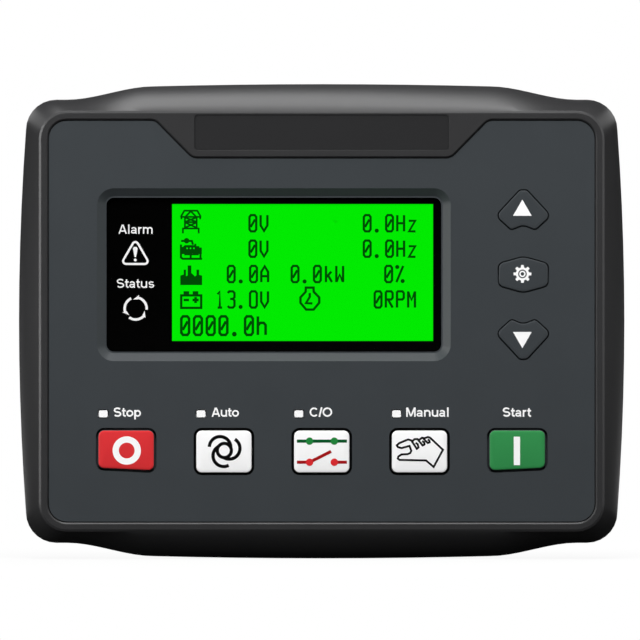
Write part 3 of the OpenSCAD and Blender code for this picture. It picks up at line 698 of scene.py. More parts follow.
class Grotesque:
    """Plain bold letters of even stroke, with capitals 10 units high."""

    TALL: ClassVar[float] = 10.0
    WEIGHT: ClassVar[float] = 1.75
    # Small letters with tight bows have a thinner stroke
    THIN: ClassVar[dict[str, float]] = {"a": 1.55, "s": 1.5}
    STEM: ClassVar[Loop] = [(1.5, 0), (1.5, 7.3)]
    WIDTHS: ClassVar[dict[str, float]] = {
        "A": 9.9, "C": 10.1, "M": 11.6, "O": 10.9, "S": 9.3, "/": 3.9, "a": 7.8, "l": 3.9,
        "m": 12.4, "n": 8.4, "o": 8.5, "p": 8.5, "r": 5.3, "s": 7.6, "t": 4.7, "u": 8.4,
    }
    STROKES: ClassVar[dict[str, list[Loop]]] = {
        "A": [[(0.95, 0), (4.7, 9.7)], [(8.95, 0), (5.2, 9.7)], [(2.3, 2.9), (7.6, 2.9)]],
        "C": [bow((5.1, 5), (3.95, 4.15), 42, 318, 28)],
        "M": [
            [(1.5, 0), (1.5, 10)],
            [(10.1, 0), (10.1, 10)],
            [(1.9, 9.6), (5.7, 0.6)],
            [(9.7, 9.6), (5.9, 0.6)],
        ],
        "S": [
            bow((4.65, 7.1), (3.2, 2.05), 28, 270, 18) + bow((4.7, 2.95), (3.35, 2.1), 90, -155, 18),
        ],
        "/": [[(0.7, -0.2), (3.2, 10.2)]],
        "a": [
            bow((3.6, 5), (2.3, 1.5), 165, 0) + [(5.9, 1.5), (6.2, 0)],
            [(5.9, 3.7), *bow((2.75, 2.25), (1.65, 1.4), 90, 270), (4.2, 0.9), (5.9, 2.3)],
        ],
        "l": [[(1.95, 0), (1.95, 10)]],
        "m": [
            STEM,
            [*bow((3.85, 4.5), (2.35, 2), 180, 0), (6.2, 0)],
            [*bow((8.55, 4.5), (2.35, 2), 180, 0), (10.9, 0)],
        ],
        "n": [STEM, [*bow((4.2, 4.4), (2.7, 2.1), 180, 0), (6.9, 0)]],
        "p": [[(1.5, -2.9), (1.5, 7.3)]],
        "r": [STEM, bow((4, 4.3), (2.5, 2.15), 180, 75)],
        "s": [bow((3.85, 5.06), (2.4, 1.45), 25, 270) + bow((3.9, 2.24), (2.6, 1.42), 90, -155)],
        "t": [
            [(0.3, 6.5), (4.4, 6.5)],
            [(2.1, 9.2), *bow((3.7, 2.3), (1.6, 1.45), 180, 275, 8), (4.5, 0.9)],
        ],
        "u": [[(6.9, 0), (6.9, 7.3)], [(1.5, 7.3), *bow((4.2, 2.8), (2.7, 2), 180, 360)]],
    }
    # Middle, and half width and height, of each closed bow
    RINGS: ClassVar[dict[str, tuple[Point, Point]]] = {
        "O": ((5.45, 5), (4.35, 4.2)),
        "o": ((4.25, 3.65), (3.05, 2.8)),
        "p": ((4.4, 3.65), (2.75, 2.8)),
    }

    @classmethod
    def word(cls, text: str, share: float) -> list[Shape]:
        """Strokes of a word, its left end at nought.

        Args:
            text: The word.
            share: Of the bold weight.

        Returns:
            Their shapes.
        """
        made: list[Shape] = []
        left = 0.0
        for letter in text:
            weight = share * cls.THIN.get(letter, cls.WEIGHT)
            drawn = [stroke(path, weight) for path in cls.STROKES.get(letter, [])]
            if letter in cls.RINGS:
                drawn.append(stroke(bow(*cls.RINGS[letter], 0, 360, 28)[:-1], weight, True))
            made += [shape.moved((left, 0.0)) for shape in drawn]
            left += cls.WIDTHS[letter]
        return made


@dataclass(frozen=True)
class Legend:
    """A plain function word, printed in white between two pixels of a line across the front."""

    text: str
    left: float
    right: float
    baseline: float
    # Share of the bold weight in its strokes
    weight: float = 1.0

    CAP_MM: ClassVar[float] = 3.2

    def build(self, depth: float) -> None:
        """Print the word.

        Args:
            depth: Depth of the carrying face along Y in mm.
        """
        shapes = Grotesque.word(self.text, self.weight)
        reach = [x for shape in shapes for x, _ in shape.outer]
        start, end = min(reach), max(reach)
        (left, base), (right, _) = spot(self.left, self.baseline), spot(self.right, self.baseline)
        across, up = (right - left) / (end - start), self.CAP_MM / Grotesque.TALL
        printed = [
            shape.mapped(lambda p: (left + (p[0] - start) * across, base + p[1] * up))
            for shape in shapes
        ]
        name = f"{self.text.replace('/', '_').lower()}_legend"
        piece = slab(name, printed, depth - INK_MM, depth + INK_MM / 2)
        finish_piece(piece, WHITE_INK, "case")


class DotFace:
    """The display's characters, as strokes on a grid 5 units wide and 12 high."""

    WIDE: ClassVar[float] = 5.0
    TALL: ClassVar[float] = 12.0
    DOT: ClassVar[float] = 1.55
    LINE: ClassVar[float] = 1.72
    SLASH: ClassVar[Loop] = [(0.9, 3.2), (4.1, 8.8)]
    ROUND: ClassVar[Loop] = [
        (1.1, 0), (3.9, 0), (5, 1.4), (5, 10.6), (3.9, 12), (1.1, 12), (0, 10.6), (0, 1.4), (1.1, 0),
    ]
    LEFT: ClassVar[Loop] = [(0, 0), (0, 12)]
    RIGHT: ClassVar[Loop] = [(5, 0), (5, 12)]
    BOWL: ClassVar[Loop] = [(0, 12), (4, 12), (5, 10.8), (5, 7.2), (4, 6), (0, 6)]
    # The letter O is a nought without a slash
    STROKES: ClassVar[dict[str, list[Loop]]] = {
        "0": [ROUND, SLASH],
        "O": [ROUND],
        "1": [[(0.8, 9.8), (2.4, 12), (2.4, 0)], [(0.8, 0), (4.1, 0)]],
        "2": [[(0, 10.6), (1.2, 12), (3.8, 12), (5, 10.6), (5, 7.6), (0, 0), (5.2, 0)]],
        "3": [
            [(0, 10.8), (1.2, 12), (3.8, 12), (5, 10.8), (5, 7.6), (3.8, 6.4), (1.8, 6.4)],
            [(3.8, 6.4), (5, 5.2), (5, 1.2), (3.8, 0), (1.2, 0), (0, 1.2)],
        ],
        "4": [[(4, 0), (4, 12), (0, 4), (5.4, 4)]],
        "5": [
            [(4.8, 12), (0, 12), (0, 7), (3.8, 7), (5, 5.6), (5, 1.4), (3.8, 0), (1.2, 0), (0, 1.4)],
        ],
        "6": [[
            (0, 6.6), (3.8, 6.6), (5, 5.2), (5, 1.4), (3.8, 0), (1.1, 0), (0, 1.4), (0, 9), (2.6, 12),
        ]],
        "7": [[(0, 12), (5, 12), (1.8, 0)]],
        "8": [ROUND, [(0.4, 6.2), (4.6, 6.2)]],
        "9": [[
            (5, 5.4), (1.2, 5.4), (0, 6.8), (0, 10.6), (1.2, 12), (3.9, 12), (5, 10.6), (5, 3), (2.4, 0),
        ]],
        "V": [[(0, 12), (0, 4.4), (2.5, 0.3), (5, 4.4), (5, 12)]],
        "A": [[(0, 0), (0, 7.6), (2.5, 11.7), (5, 7.6), (5, 0)], [(0, 4.4), (5, 4.4)]],
        "H": [LEFT, RIGHT, [(0, 6), (5, 6)]],
        "z": [[(0.2, 7.8), (5, 7.8), (0.4, 0), (5.2, 0)]],
        "k": [[(0.6, 0), (0.6, 12)], [(4.6, 7.8), (0.6, 3.4)], [(2.2, 5), (5, 0)]],
        "W": [LEFT[::-1], RIGHT[::-1], [(0.3, 0.4), (2.5, 5.6), (4.7, 0.4)]],
        "%": [[(0, 0), (5, 12)]],
        "R": [LEFT, BOWL, [(1.6, 6), (5, 0)]],
        "P": [LEFT, BOWL],
        "M": [LEFT, RIGHT, [(0.2, 11.2), (2.5, 5.6), (4.8, 11.2)]],
        "h": [LEFT, [(0, 6), (1.6, 7.8), (3.8, 7.8), (5, 6.4), (5, 0)]],
    }
    DOTS: ClassVar[dict[str, list[Point]]] = {".": [(1.3, 0.5)], "%": [(0.6, 11.2), (4.6, 0.8)]}

    @classmethod
    def write(
        cls, text: str, left: float, base: float, pitch: float, tall: float, line: float = LINE
    ) -> list[Shape]:
        """Strokes of a reading.

        Args:
            text: Its characters.
            left: Middle of its first upright, along X in mm.
            base: Middle of its lowest stroke, along Z in mm.
            pitch: Distance between characters in mm.
            tall: Height of a character between the middles of its strokes in mm.
            line: Width of a stroke in units of the grid.

        Returns:
            Their shapes.
        """
        unit = tall / cls.TALL
        made: list[Shape] = []
        for i, letter in enumerate(text):
            drawn = []
            for path in cls.STROKES.get(letter, []):
                closed = path[0] == path[-1]
                drawn.append(stroke(path[:-1] if closed else path, line, closed))
            drawn += [disc(dot, cls.DOT, 12) for dot in cls.DOTS.get(letter, [])]
            made += [shape.moved((left + i * pitch, base), unit) for shape in drawn]
        return made


# Sub-assemblies


@dataclass
class Assembly:
    """A group of CAD nodes that are dressed together, with the prints that go on them."""

    nodes: dict[str, Piece]
    FINISHES: ClassVar[dict[str, Finish]] = {}
    # Facets that meet at a smaller angle than this are shaded as one curved face
    SMOOTH_DEG: ClassVar[float] = 22.0

    def dress(self) -> None:
        """Give each of the group's CAD nodes its finish and smooth faces."""
        for name, finish in self.FINISHES.items():
            coat(self.nodes[name], finish)
            Softener(self.SMOOTH_DEG).apply(self.nodes[name])
            LOG.info("dressed %s in %s", name, finish.name)

    def build(self) -> None:
        """Make the group's own pieces. A group with none makes nothing."""


@dataclass
class Bezel(Assembly):
    """The moulded frame with its bare name film."""

    FINISHES: ClassVar[dict[str, Finish]] = {"front_bezel": CASE_ABS, "name_inlay": NAME_FILM}
    SMOOTH_DEG: ClassVar[float] = 16.0


@dataclass
class Display(Assembly):
    """Lens, printed mask with its two signs, and the liquid-crystal picture behind it."""

    FINISHES: ClassVar[dict[str, Finish]] = {
        "display_lens": LENS_ACRYLIC,
        "lens_seal": SEAL_RUBBER,
        "lcd_frame": TIN_STEEL,
        "lcd_glass": LCD_GREEN,
        "lcd_backlight": LAMP_WHITE,
    }
    picture_low: Point = (-51.6, -6.8)
    picture_high: Point = (38.4, 40.4)
    mask_margin: float = 0.3
    mask_corner: float = 4.0
    triangle_line: float = 0.72
    triangle_corner: float = 1.0
    mark_dot: float = 0.5
    ring_radius: float = 3.8
    ring_line: float = 0.85
    # A ring arrow's shaft and the heel and tip of its head, in degrees from its start
    ring_turns: Triple = (88, 82, 112)
    # Tip, and inner and outer heel, from the middle of the ring's line
    ring_head: Triple = (-0.6, -0.55, 1.0)
    letter_pitch: float = 3.85
    letter_tall: float = 5.6
    hours_pitch: float = 4.4
    hours_tall: float = 6.4
    tower_line: float = 0.6
    set_line: float = 0.7
    set_lights: float = 0.3
    set_plug: float = 0.95
    battery_line: float = 0.8
    minus_line: float = 0.85
    plus_line: float = 0.9
    engine_line: float = 0.82

    WORDS: ClassVar[tuple[Legend, ...]] = (
        Legend("Alarm", 118.1, 152.3, 233.6, 0.86),
        Legend("Status", 116.45, 153.95, 287.9, 0.86),
    )
    TRIANGLE: ClassVar[Loop] = [(135.0, 238.996), (120.586, 263.904), (149.414, 263.904)]
    MARK: ClassVar[Loop] = [
        (132.5, 248.6), (133.5, 246.8), (136.3, 246.8), (137.3, 248.6), (135.7, 257.0), (134.1, 257.0),
    ]
    MARK_DOT: ClassVar[Point] = (134.9, 259.9)
    RING: ClassVar[Point] = (135.3, 308.5)
    RING_STARTS: ClassVar[Triple] = (-6, 114, 234)
    READINGS: ClassVar[list[tuple[str, Point]]] = [
        ("0V", (249.3, 231.2)),
        ("0V", (249.3, 256.7)),
        ("0.0A", (227.6, 282.1)),
        ("13.OV", (216.3, 307.6)),
        ("0.0Hz", (363.9, 231.2)),
        ("0.0Hz", (363.9, 256.7)),
        ("0.0kW", (291.6, 282.1)),
        ("0%", (385.4, 282.1)),
        ("0RPM", (374.8, 307.6)),
    ]
    HOURS: ClassVar[tuple[str, Point]] = ("0000.0h", (181.0, 335.0))
    TOWER: ClassVar[list[Loop]] = [
        [(184, 210.5), (197, 210.5)],
        [(184.3, 210), (180.8, 216), (181.2, 219)],
        [(196.7, 210), (200.2, 216), (199.8, 219)],
        [(180.6, 216.7), (200.4, 216.7)],
        [(185.2, 216.5), (190.5, 211), (195.8, 216.5)],
        [(184.6, 217), (184.6, 227.6)],
        [(196.4, 217), (196.4, 227.6)],
        [(184.6, 222), (196.4, 222)],
        [(185, 217.4), (196, 221.6)],
        [(196, 217.4), (185, 221.6)],
        [(185, 222.4), (196, 227.4)],
        [(196, 222.4), (185, 227.4)],
        [(182, 228.3), (199, 228.3)],
        [(182.6, 228), (182.6, 233.2)],
        [(198.4, 228), (198.4, 233.2)],
    ]
    SET_HULL: ClassVar[Loop] = [
        (182.5, 246.8), (184.5, 245), (194, 245), (194, 243.6), (196, 243.6), (196, 246), (199, 246),
        (199, 247.4), (201.5, 247.4), (201.5, 254), (198.5, 254), (198.5, 255.2), (184, 255.2),
        (184, 254), (181.5, 254), (181.5, 246.8),
    ]
    SET_LIGHTS: ClassVar[Loop] = [(186.8, 248.2), (190.2, 248.2), (193.6, 248.2)]
    SET_PLUG: ClassVar[Point] = (186.3, 240.6)
    SET_LINES: ClassVar[list[Loop]] = [
        [(180.8, 240.8), (191.6, 240.8), (192.6, 244.6)],
        [(180.6, 244.4), (180.6, 257.4), (182.4, 258.7), (201.8, 258.7)],
        [(200.2, 254), (200.2, 258)],
        [(190.4, 255), (190.4, 258.4)],
    ]
    LOAD: ClassVar[Loop] = [
        (180, 285), (180, 275.6), (183.4, 274.4), (183.4, 269.6), (185.6, 269.6), (185.6, 276.2),
        (187.4, 275.4), (187.4, 265.4), (191, 265.4), (191, 272.8), (194.6, 276.4), (196.2, 275.2),
        (196.2, 269.6), (198.8, 269.6), (198.8, 274.8), (201.8, 275.6), (201.8, 285),
    ]
    BATTERY: ClassVar[Loop] = [(180.9, 295.4), (200.9, 295.4), (200.9, 307.9), (180.9, 307.9)]
    BATTERY_POSTS: ClassVar[list[Loop]] = [
        [(183.2, 295.2), (188.8, 291.2)],
        [(192.4, 295.2), (198.0, 291.2)],
    ]
    MINUS: ClassVar[Loop] = [(183.3, 300), (188.7, 300)]
    PLUS: ClassVar[list[Loop]] = [[(192.2, 300), (198.4, 300)], [(195.3, 297), (195.3, 303)]]
    ENGINE: ClassVar[Loop] = [
        (305.8, 287.6), (313.5, 287.6), (313.7, 291.8), (319.2, 297.4), (319.2, 302.8),
        (313.5, 309.6), (306.1, 309.6), (300.4, 302.8), (300.4, 297.4), (305.6, 291.8),
    ]
    ENGINE_HAND: ClassVar[Loop] = [(309.7, 293.0), (309.7, 297.0), (305.9, 303.2), (312.4, 303.4)]

    def mask(self) -> Shape:
        """Black print on the back of the lens, open over the picture.

        Returns:
            Its shape.
        """
        low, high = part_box("display_lens")
        inset = self.mask_margin
        corner = (low.x / MM + inset, low.z / MM + inset)
        edge = rectangle(corner, (high.x / MM - inset, high.z / MM - inset))
        opening = rectangle(self.picture_low, self.picture_high)
        return Shape(eased(edge, self.mask_corner, 6), [opening])

    def signs(self) -> list[Shape]:
        """Alarm triangle and ring of running arrows.

        Returns:
            Their shapes.
        """
        triangle = eased(spots(self.TRIANGLE), self.triangle_corner)
        made = [
            stroke(triangle, self.triangle_line, True),
            Shape(spots(self.MARK)),
            disc(spot(*self.MARK_DOT), self.mark_dot, 16),
        ]
        centre, radius = spot(*self.RING), self.ring_radius
        shaft, heel, tip = self.ring_turns
        for start in self.RING_STARTS:
            made.append(stroke(arc(centre, radius, start, start + shaft, 16), self.ring_line))
            turns = (start + tip, start + heel, start + heel)
            head = [polar(centre, radius + r, turn) for r, turn in zip(self.ring_head, turns)]
            made.append(Shape(head))
        return made

    def icons(self) -> list[Shape]:
        """Mains tower, generating set, load, battery and engine icons of the picture.

        Returns:
            Their shapes.
        """
        lights = [circle(place, self.set_lights, 10) for place in spots(self.SET_LIGHTS)]
        return [
            *(stroke(spots(path), self.tower_line) for path in self.TOWER),
            Shape(spots(self.SET_HULL), lights),
            disc(spot(*self.SET_PLUG), self.set_plug, 12),
            *(stroke(spots(path), self.set_line) for path in self.SET_LINES),
            Shape(spots(self.LOAD)),
            stroke(spots(self.BATTERY), self.battery_line, True),
            *(Shape(rectangle(*spots(post))) for post in self.BATTERY_POSTS),
            stroke(spots(self.MINUS), self.minus_line),
            *(stroke(spots(path), self.plus_line) for path in self.PLUS),
            stroke(spots(self.ENGINE), self.engine_line, True),
            stroke(spots(self.ENGINE_HAND), self.engine_line),
        ]

    def readings(self) -> list[Shape]:
        """Values and units of the picture, and its line of hours.

        Returns:
            Their shapes.
        """
        made: list[Shape] = []
        for text, place in self.READINGS:
            made += DotFace.write(text, *spot(*place), self.letter_pitch, self.letter_tall)
        text, place = self.HOURS
        return made + DotFace.write(text, *spot(*place), self.hours_pitch, self.hours_tall)

    def build(self) -> None:
        """Print the mask and its signs, and set the picture's dots."""
        back, face = back_of("display_lens"), front_of("lcd_glass")
        mask = slab("lens_mask", [self.mask()], back - INK_MM, back)
        finish_piece(mask, MASK_INK, "case")
        signs = slab("status_signs", self.signs(), back - 2 * INK_MM, back - INK_MM)
        finish_piece(signs, WHITE_INK, "case")
        for word in self.WORDS:
            word.build(back - INK_MM)
        dots = slab("picture_dots", self.icons() + self.readings(), face - INK_MM, face)
        finish_piece(dots, LCD_DARK, "case")


class Key(Enum):
    """The keys, by the word that starts their nodes' names."""

    STOP = "stop"
    AUTO = "auto"
    BREAKER = "breaker"
    MANUAL = "manual"
    START = "start"
    UP = "up"
    MENU = "menu"
    DOWN = "down"

    @property
    def node(self) -> str:
        """Name of the key's CAD node."""
        return f"{self.value}_key"

    @property
    def body(self) -> str:
        """Name of the body that the key moves with."""
        return f"{self.value}_button"


@dataclass
class Keypad(Assembly):
    """Silicone panel, keys with their symbols, lamps and printed words."""

    FINISHES: ClassVar[dict[str, Finish]] = {
        "front_panel": PANEL_SILICONE,
        Key.STOP.node: RED_SILICONE,
        **{key.node: WHITE_SILICONE for key in (Key.AUTO, Key.BREAKER, Key.MANUAL)},
        Key.START.node: GREEN_SILICONE,
        **{key.node: PANEL_SILICONE for key in (Key.UP, Key.MENU, Key.DOWN)},
        **{f"{key.value}_plunger": CHIP_EPOXY for key in Key},
        **{f"{name}_lamp": LAMP_WHITE for name in ("stop", "auto", "breaker", "manual")},
        "switch_bodies": CHIP_EPOXY,
        "indicator_leds": LAMP_WHITE,
    }
    SMOOTH_DEG: ClassVar[float] = 32.0
    # Symbols reach this far into the crown of their key
    sink: float = 0.12
    # Outer and inner radius
    stop_ring: Pair = (4.88, 2.72)
    auto_line: float = 1.17
    auto_ring: float = 2.43
    # Radius of an arm, distance and lead of its centre, and the angles of its ends
    arm_radius: float = 3.7
    arm_throw: float = 1.84
    arm_lead: float = 143.5
    arm_ends: Pair = (-4, 178)
    breaker_line: float = 1.08
    breaker_bead: float = 1.28
    hand_line: float = 0.72
    gear_teeth: int = 8
    gear_tip: float = 3.1
    gear_root: float = 2.3
    gear_bore: float = 1.5
    # Outer and inner radius of the ring in the bore
    gear_hub: Pair = (1.1, 0.62)
    # Half widths of a tooth at its root and tip, in shares of the pitch
    tooth: Pair = (0.30, 0.19)

    LEGEND_BASE: ClassVar[float] = 416.9
    LEGEND_ENDS: ClassVar[dict[str, Pair]] = {
        "Stop": (113.5, 140.7),
        "Auto": (211.5, 238.8),
        "C/O": (309.6, 332.2),
        "Manual": (406.3, 448.8),
        "Start": (503.0, 531.4),
    }
    STOP_MIDDLE: ClassVar[Point] = (126.5, 450.7)
    AUTO_MIDDLE: ClassVar[Point] = (224.2, 450.7)
    # Ends of the lines along X, places of the beads on them, and their two heights
    BREAKER_ENDS: ClassVar[Pair] = (296.9, 346.9)
    BREAKER_BEADS: ClassVar[Pair] = (309.5, 334.3)
    BREAKER_ROWS: ClassVar[Pair] = (441.3, 462.4)
    BREAKER_LEVER: ClassVar[Point] = (331.1, 451.6)
    PALM: ClassVar[Loop] = [
        (396.9, 445.4), (399.6, 443.2), (408.2, 439.7), (410.9, 440.4), (412.6, 441.4),
        (414.6, 439.4), (417.4, 439.2), (419.2, 440.2), (422.2, 437.9), (424.8, 438.4),
        (428.0, 437.2), (430.3, 438.0), (443.1, 450.0), (433.8, 467.1), (426.2, 460.7),
        (399.7, 460.1), (397.9, 458.8), (398.4, 456.8), (401.5, 454.7), (407.9, 454.3),
        (410.4, 453.2), (411.4, 450.9), (409.6, 446.1), (401.6, 448.3), (398.0, 447.3),
    ]
    FINGERS: ClassVar[list[Loop]] = [
        [(411.8, 441.3), (414.6, 445.4), (416.9, 449.0), (418.6, 447.7), (417.8, 444.4), (415.7, 443.0)],
        [(417.9, 439.7), (420.8, 443.2), (422.7, 445.6), (424.6, 444.7), (424.2, 442.5), (422.2, 441.4)],
        [(423.2, 438.4), (426.0, 441.4), (428.0, 443.2), (429.7, 442.5), (429.5, 440.6), (427.8, 439.8)],
    ]
    START_BAR: ClassVar[Loop] = [(514.0, 465.4), (520.3, 436.9)]
    UP_ARROW: ClassVar[Loop] = [(513.2, 215.7), (532.0, 215.7), (522.6, 199.6)]
    MENU_MIDDLE: ClassVar[Point] = (522.7, 273.9)
    DOWN_ARROW: ClassVar[Loop] = [(513.2, 332.0), (522.6, 348.3), (532.0, 332.0)]

    def fan(self) -> list[Shape]:
        """Ring with three curved arms of the auto key.

        Returns:
            Its shapes.
        """
        centre, half = spot(*self.AUTO_MIDDLE), self.auto_line / 2
        made = [annulus(centre, self.auto_ring + half, self.auto_ring - half)]
        first, last = self.arm_ends
        for turn in (0, 120, 240):
            middle = polar(centre, self.arm_throw, self.arm_lead + turn)
            arm = arc(middle, self.arm_radius, turn + first, turn + last, 22)
            made.append(stroke(arm, self.auto_line))
        return made

    def breakers(self) -> dict[Finish, list[Shape]]:
        """Closed green line over an open red one, for the two breakers.

        Returns:
            Shapes by ink.
        """
        (start, end), (left, right) = self.BREAKER_ENDS, self.BREAKER_BEADS
        green, red = self.BREAKER_ROWS
        closed = [[(start, green), (end, green)]]
        opened = [[(start, red), (left, red), self.BREAKER_LEVER], [(right, red), (end, red)]]
        return {
            DARK_GREEN_INK: [stroke(spots(path), self.breaker_line) for path in closed],
            DARK_RED_INK: [stroke(spots(path), self.breaker_line) for path in opened],
            GREEN_INK: [disc(spot(x, green), self.breaker_bead) for x in (left, right)],
            RED_INK: [disc(spot(x, red), self.breaker_bead) for x in (left, right)],
        }

    def hand(self) -> list[Shape]:
        """Outline of a reaching hand, with its curled fingers."""
        fingers = [stroke(spots(path), self.hand_line) for path in self.FINGERS]
        return [stroke(spots(self.PALM), self.hand_line, True), *fingers]

    def gear(self) -> list[Shape]:
        """Gear wheel of the menu key, with a hub ring in its bore.

        Returns:
            Its shapes.
        """
        centre = spot(*self.MENU_MIDDLE)
        foot, top = self.tooth
        flanks = (
            (-foot, self.gear_root), (-top, self.gear_tip), (top, self.gear_tip), (foot, self.gear_root),
        )
        rim = [
            polar(centre, radius, 360 * (k + turn) / self.gear_teeth)
            for k in range(self.gear_teeth)
            for turn, radius in flanks
        ]
        bore = circle(centre, self.gear_bore, 24)
        return [Shape(rim, [bore]), annulus(centre, *self.gear_hub, 24)]

    def symbols(self) -> dict[Key, dict[Finish, list[Shape]]]:
        """Prints of the keys.

        Returns:
            Shapes by key and ink, each later ink on top of those before it.
        """
        return {
            Key.STOP: {WHITE_INK: [annulus(spot(*self.STOP_MIDDLE), *self.stop_ring)]},
            Key.AUTO: {BLACK_INK: self.fan()},
            Key.BREAKER: self.breakers(),
            Key.MANUAL: {BLACK_INK: self.hand()},
            Key.START: {WHITE_INK: [Shape(rectangle(*spots(self.START_BAR)))]},
            Key.UP: {WHITE_INK: [Shape(spots(self.UP_ARROW))]},
            Key.MENU: {WHITE_INK: self.gear()},
            Key.DOWN: {WHITE_INK: [Shape(spots(self.DOWN_ARROW))]},
        }

    def build(self) -> None:
        """Print the symbols on the keys and the words above them."""
        for key, inks in self.symbols().items():
            face = front_of(key.node)
            for rank, (ink, shapes) in enumerate(inks.items()):
                name = f"{key.value}_symbol_{ink.name.split('_')[0]}"
                top = face - INK_MM - rank * LAYERS * LAYER_MM
                piece = slab(name, shapes, top, face + self.sink)
                finish_piece(piece, ink, key.body)
        for text, (left, right) in self.LEGEND_ENDS.items():
            Legend(text, left, right, self.LEGEND_BASE).build(front_of("front_panel"))


@dataclass
class Rear(Assembly):
    """Rear housing, gasket, screws and the boards inside."""

    FINISHES: ClassVar[dict[str, Finish]] = {
        "rear_housing": CASE_ABS,
        "housing_screws": ZINC_STEEL,
        "panel_gasket": SEAL_RUBBER,
        "keypad_board": BOARD_MASK,
        "main_board": BOARD_MASK,
        "keypad_screws": ZINC_STEEL,
        "main_screws": ZINC_STEEL,
        "processor": CHIP_EPOXY,
        "board_link": CHIP_EPOXY,
        "relays": RELAY_PBT,
        "capacitors": CAN_SLEEVE,
    }


@dataclass
class Terminals(Assembly):
    """Headers and pluggable terminals with their screws, numbered on the housing beside them."""

    ROWS: ClassVar[tuple[str, ...]] = ("top_right", "top_left", "low_right", "low_left")
    FINISHES: ClassVar[dict[str, Finish]] = {
        **{f"{row}_header": TERMINAL_NYLON for row in ROWS},
        **{f"{row}_plug": TERMINAL_NYLON for row in ROWS},
        "terminal_screws": ZINC_STEEL,
    }
    way_pitch: float = 5.08
    number_tall: float = 2.1
    number_pitch: float = 1.55
    number_line: float = 1.5
    number_z: float = 36.0

    def numbers(self) -> list[Shape]:
        """Numbers of all the ways, counted from the left as seen from behind.

        Returns:
            Their shapes.
        """
        made: list[Shape] = []
        count = 0
        tall, pitch = self.number_tall, self.number_pitch
        for row in self.ROWS:
            low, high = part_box(f"{row}_plug")
            base = math.copysign(self.number_z, low.z) - tall / 2
            for way in range(round((high.x - low.x) / MM / self.way_pitch)):
                count += 1
                number = str(count).replace("0", "O")
                middle = -high.x / MM + (way + 0.5) * self.way_pitch
                wide = pitch * (len(number) - 1) + tall * DotFace.WIDE / DotFace.TALL
                left = middle - wide / 2
                made += DotFace.write(number, left, base, pitch, tall, self.number_line)
        return [shape.mirrored() for shape in made]

    def build(self) -> None:
        """Print the numbers on the back of the housing."""
        face = back_of("rear_housing")
        piece = slab("terminal_numbers", self.numbers(), face + INK_MM, face - INK_MM)
        finish_piece(piece, WHITE_INK, "case")


@dataclass
class Clips(Assembly):
    """Fixing clips with their jack screws and feet."""

    NUMBERS: ClassVar[tuple[int, ...]] = (1, 2, 3, 4)
    FINISHES: ClassVar[dict[str, Finish]] = {
        "fixing_clips": CLIP_NYLON,
        **{f"clip_screw_{i}": ZINC_STEEL for i in NUMBERS},
        **{f"clip_foot_{i}": SEAL_RUBBER for i in NUMBERS},
    }
    # The thread stands on the plain shank of the solid and clears the bore of the clip
    pitch: float = 0.7
    root: float = 1.97
    crest: float = 2.07
    clear_tip: float = 1.9
    clear_head: float = 4.3

    ROWS_A_TURN: ClassVar[int] = 6
    COLUMNS: ClassVar[int] = 24

    def thread(self, name: str, screw: str) -> Piece:
        """Right-handed thread along a jack screw's shank.

        Args:
            name: The new piece's name.
            screw: The screw's CAD node.

        Returns:
            The new piece.
        """
        low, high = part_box(screw)
        middle = (low + high) / (2 * MM)
        start, end = low.y / MM + self.clear_tip, high.y / MM - self.clear_head
        rows = round((end - start) / self.pitch * self.ROWS_A_TURN)
        build = bmesh.new()
        rings: list[list[bmesh.types.BMVert]] = []
        for row in range(rows + 1):
            y = start + (end - start) * row / rows
            ring = []
            for column in range(self.COLUMNS):
                phase = (y - start) / self.pitch - column / self.COLUMNS
                # The thread runs out at both of its ends
                wave = 0.0 if row in (0, rows) else 1 - abs(2 * (phase % 1) - 1)
                radius = self.root + (self.crest - self.root) * wave
                turn = math.tau * column / self.COLUMNS
                place = (middle.x + radius * math.sin(turn), y, middle.z + radius * math.cos(turn))
                ring.append(build.verts.new(Vector(place) * MM))
            rings.append(ring)
        for ring, after in zip(rings, rings[1:]):
            for k in range(self.COLUMNS):
                j = (k + 1) % self.COLUMNS
                build.faces.new((ring[k], ring[j], after[j], after[k])).smooth = True
        build.faces.new(rings[0])
        build.faces.new(rings[-1][::-1])
        return solid(name, build)

    def build(self) -> None:
        """Cut the threads of the four jack screws."""
        for i in self.NUMBERS:
            piece = self.thread(f"jack_thread_{i}", f"clip_screw_{i}")
            finish_piece(piece, ZINC_STEEL, f"jack_{i}")


# Studio, with its lengths in metres unless they say otherwise


def card(name: str, middle: Triple, across: Triple, along: Triple) -> Piece:
    """Lay a flat card in the studio, which isn't part of the object.

    Args:
        name: The card's name.
        middle: Its centre.
        across: From its centre to the middle of one side.
        along: From its centre to the middle of the next side.

    Returns:
        The card.
    """
    corners = [
        Vector(middle) + Vector(across) * a + Vector(along) * b
        for a, b in ((-1, -1), (1, -1), (1, 1), (-1, 1))
    ]
    mesh = bpy.data.meshes.new(name)
    mesh.from_pydata(corners, [], [(0, 1, 2, 3)])
    made = link(name, mesh)
    made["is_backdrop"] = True
    return made


@dataclass(frozen=True)
class Softbox:
    """A soft rectangular lamp."""

    name: str
    place: Triple
    size: Pair
    watts: float
    # A lamp behind a polarising sheet lights a surface and leaves no mirror image in its gloss
    polarised: bool = False

    def build(self) -> None:
        """Hang the lamp and turn it to the part."""
        data = bpy.data.lights.new(self.name, "AREA")
        data.shape = "RECTANGLE"
        data.size, data.size_y = self.size
        data.energy = self.watts
        lamp = bpy.data.objects.new(self.name, data)
        lamp.location = self.place
        lamp.rotation_euler = (-Vector(self.place)).to_track_quat("-Z", "Y").to_euler()
        lamp.visible_camera = False
        lamp.visible_glossy = not self.polarised
        bpy.context.scene.collection.objects.link(lamp)


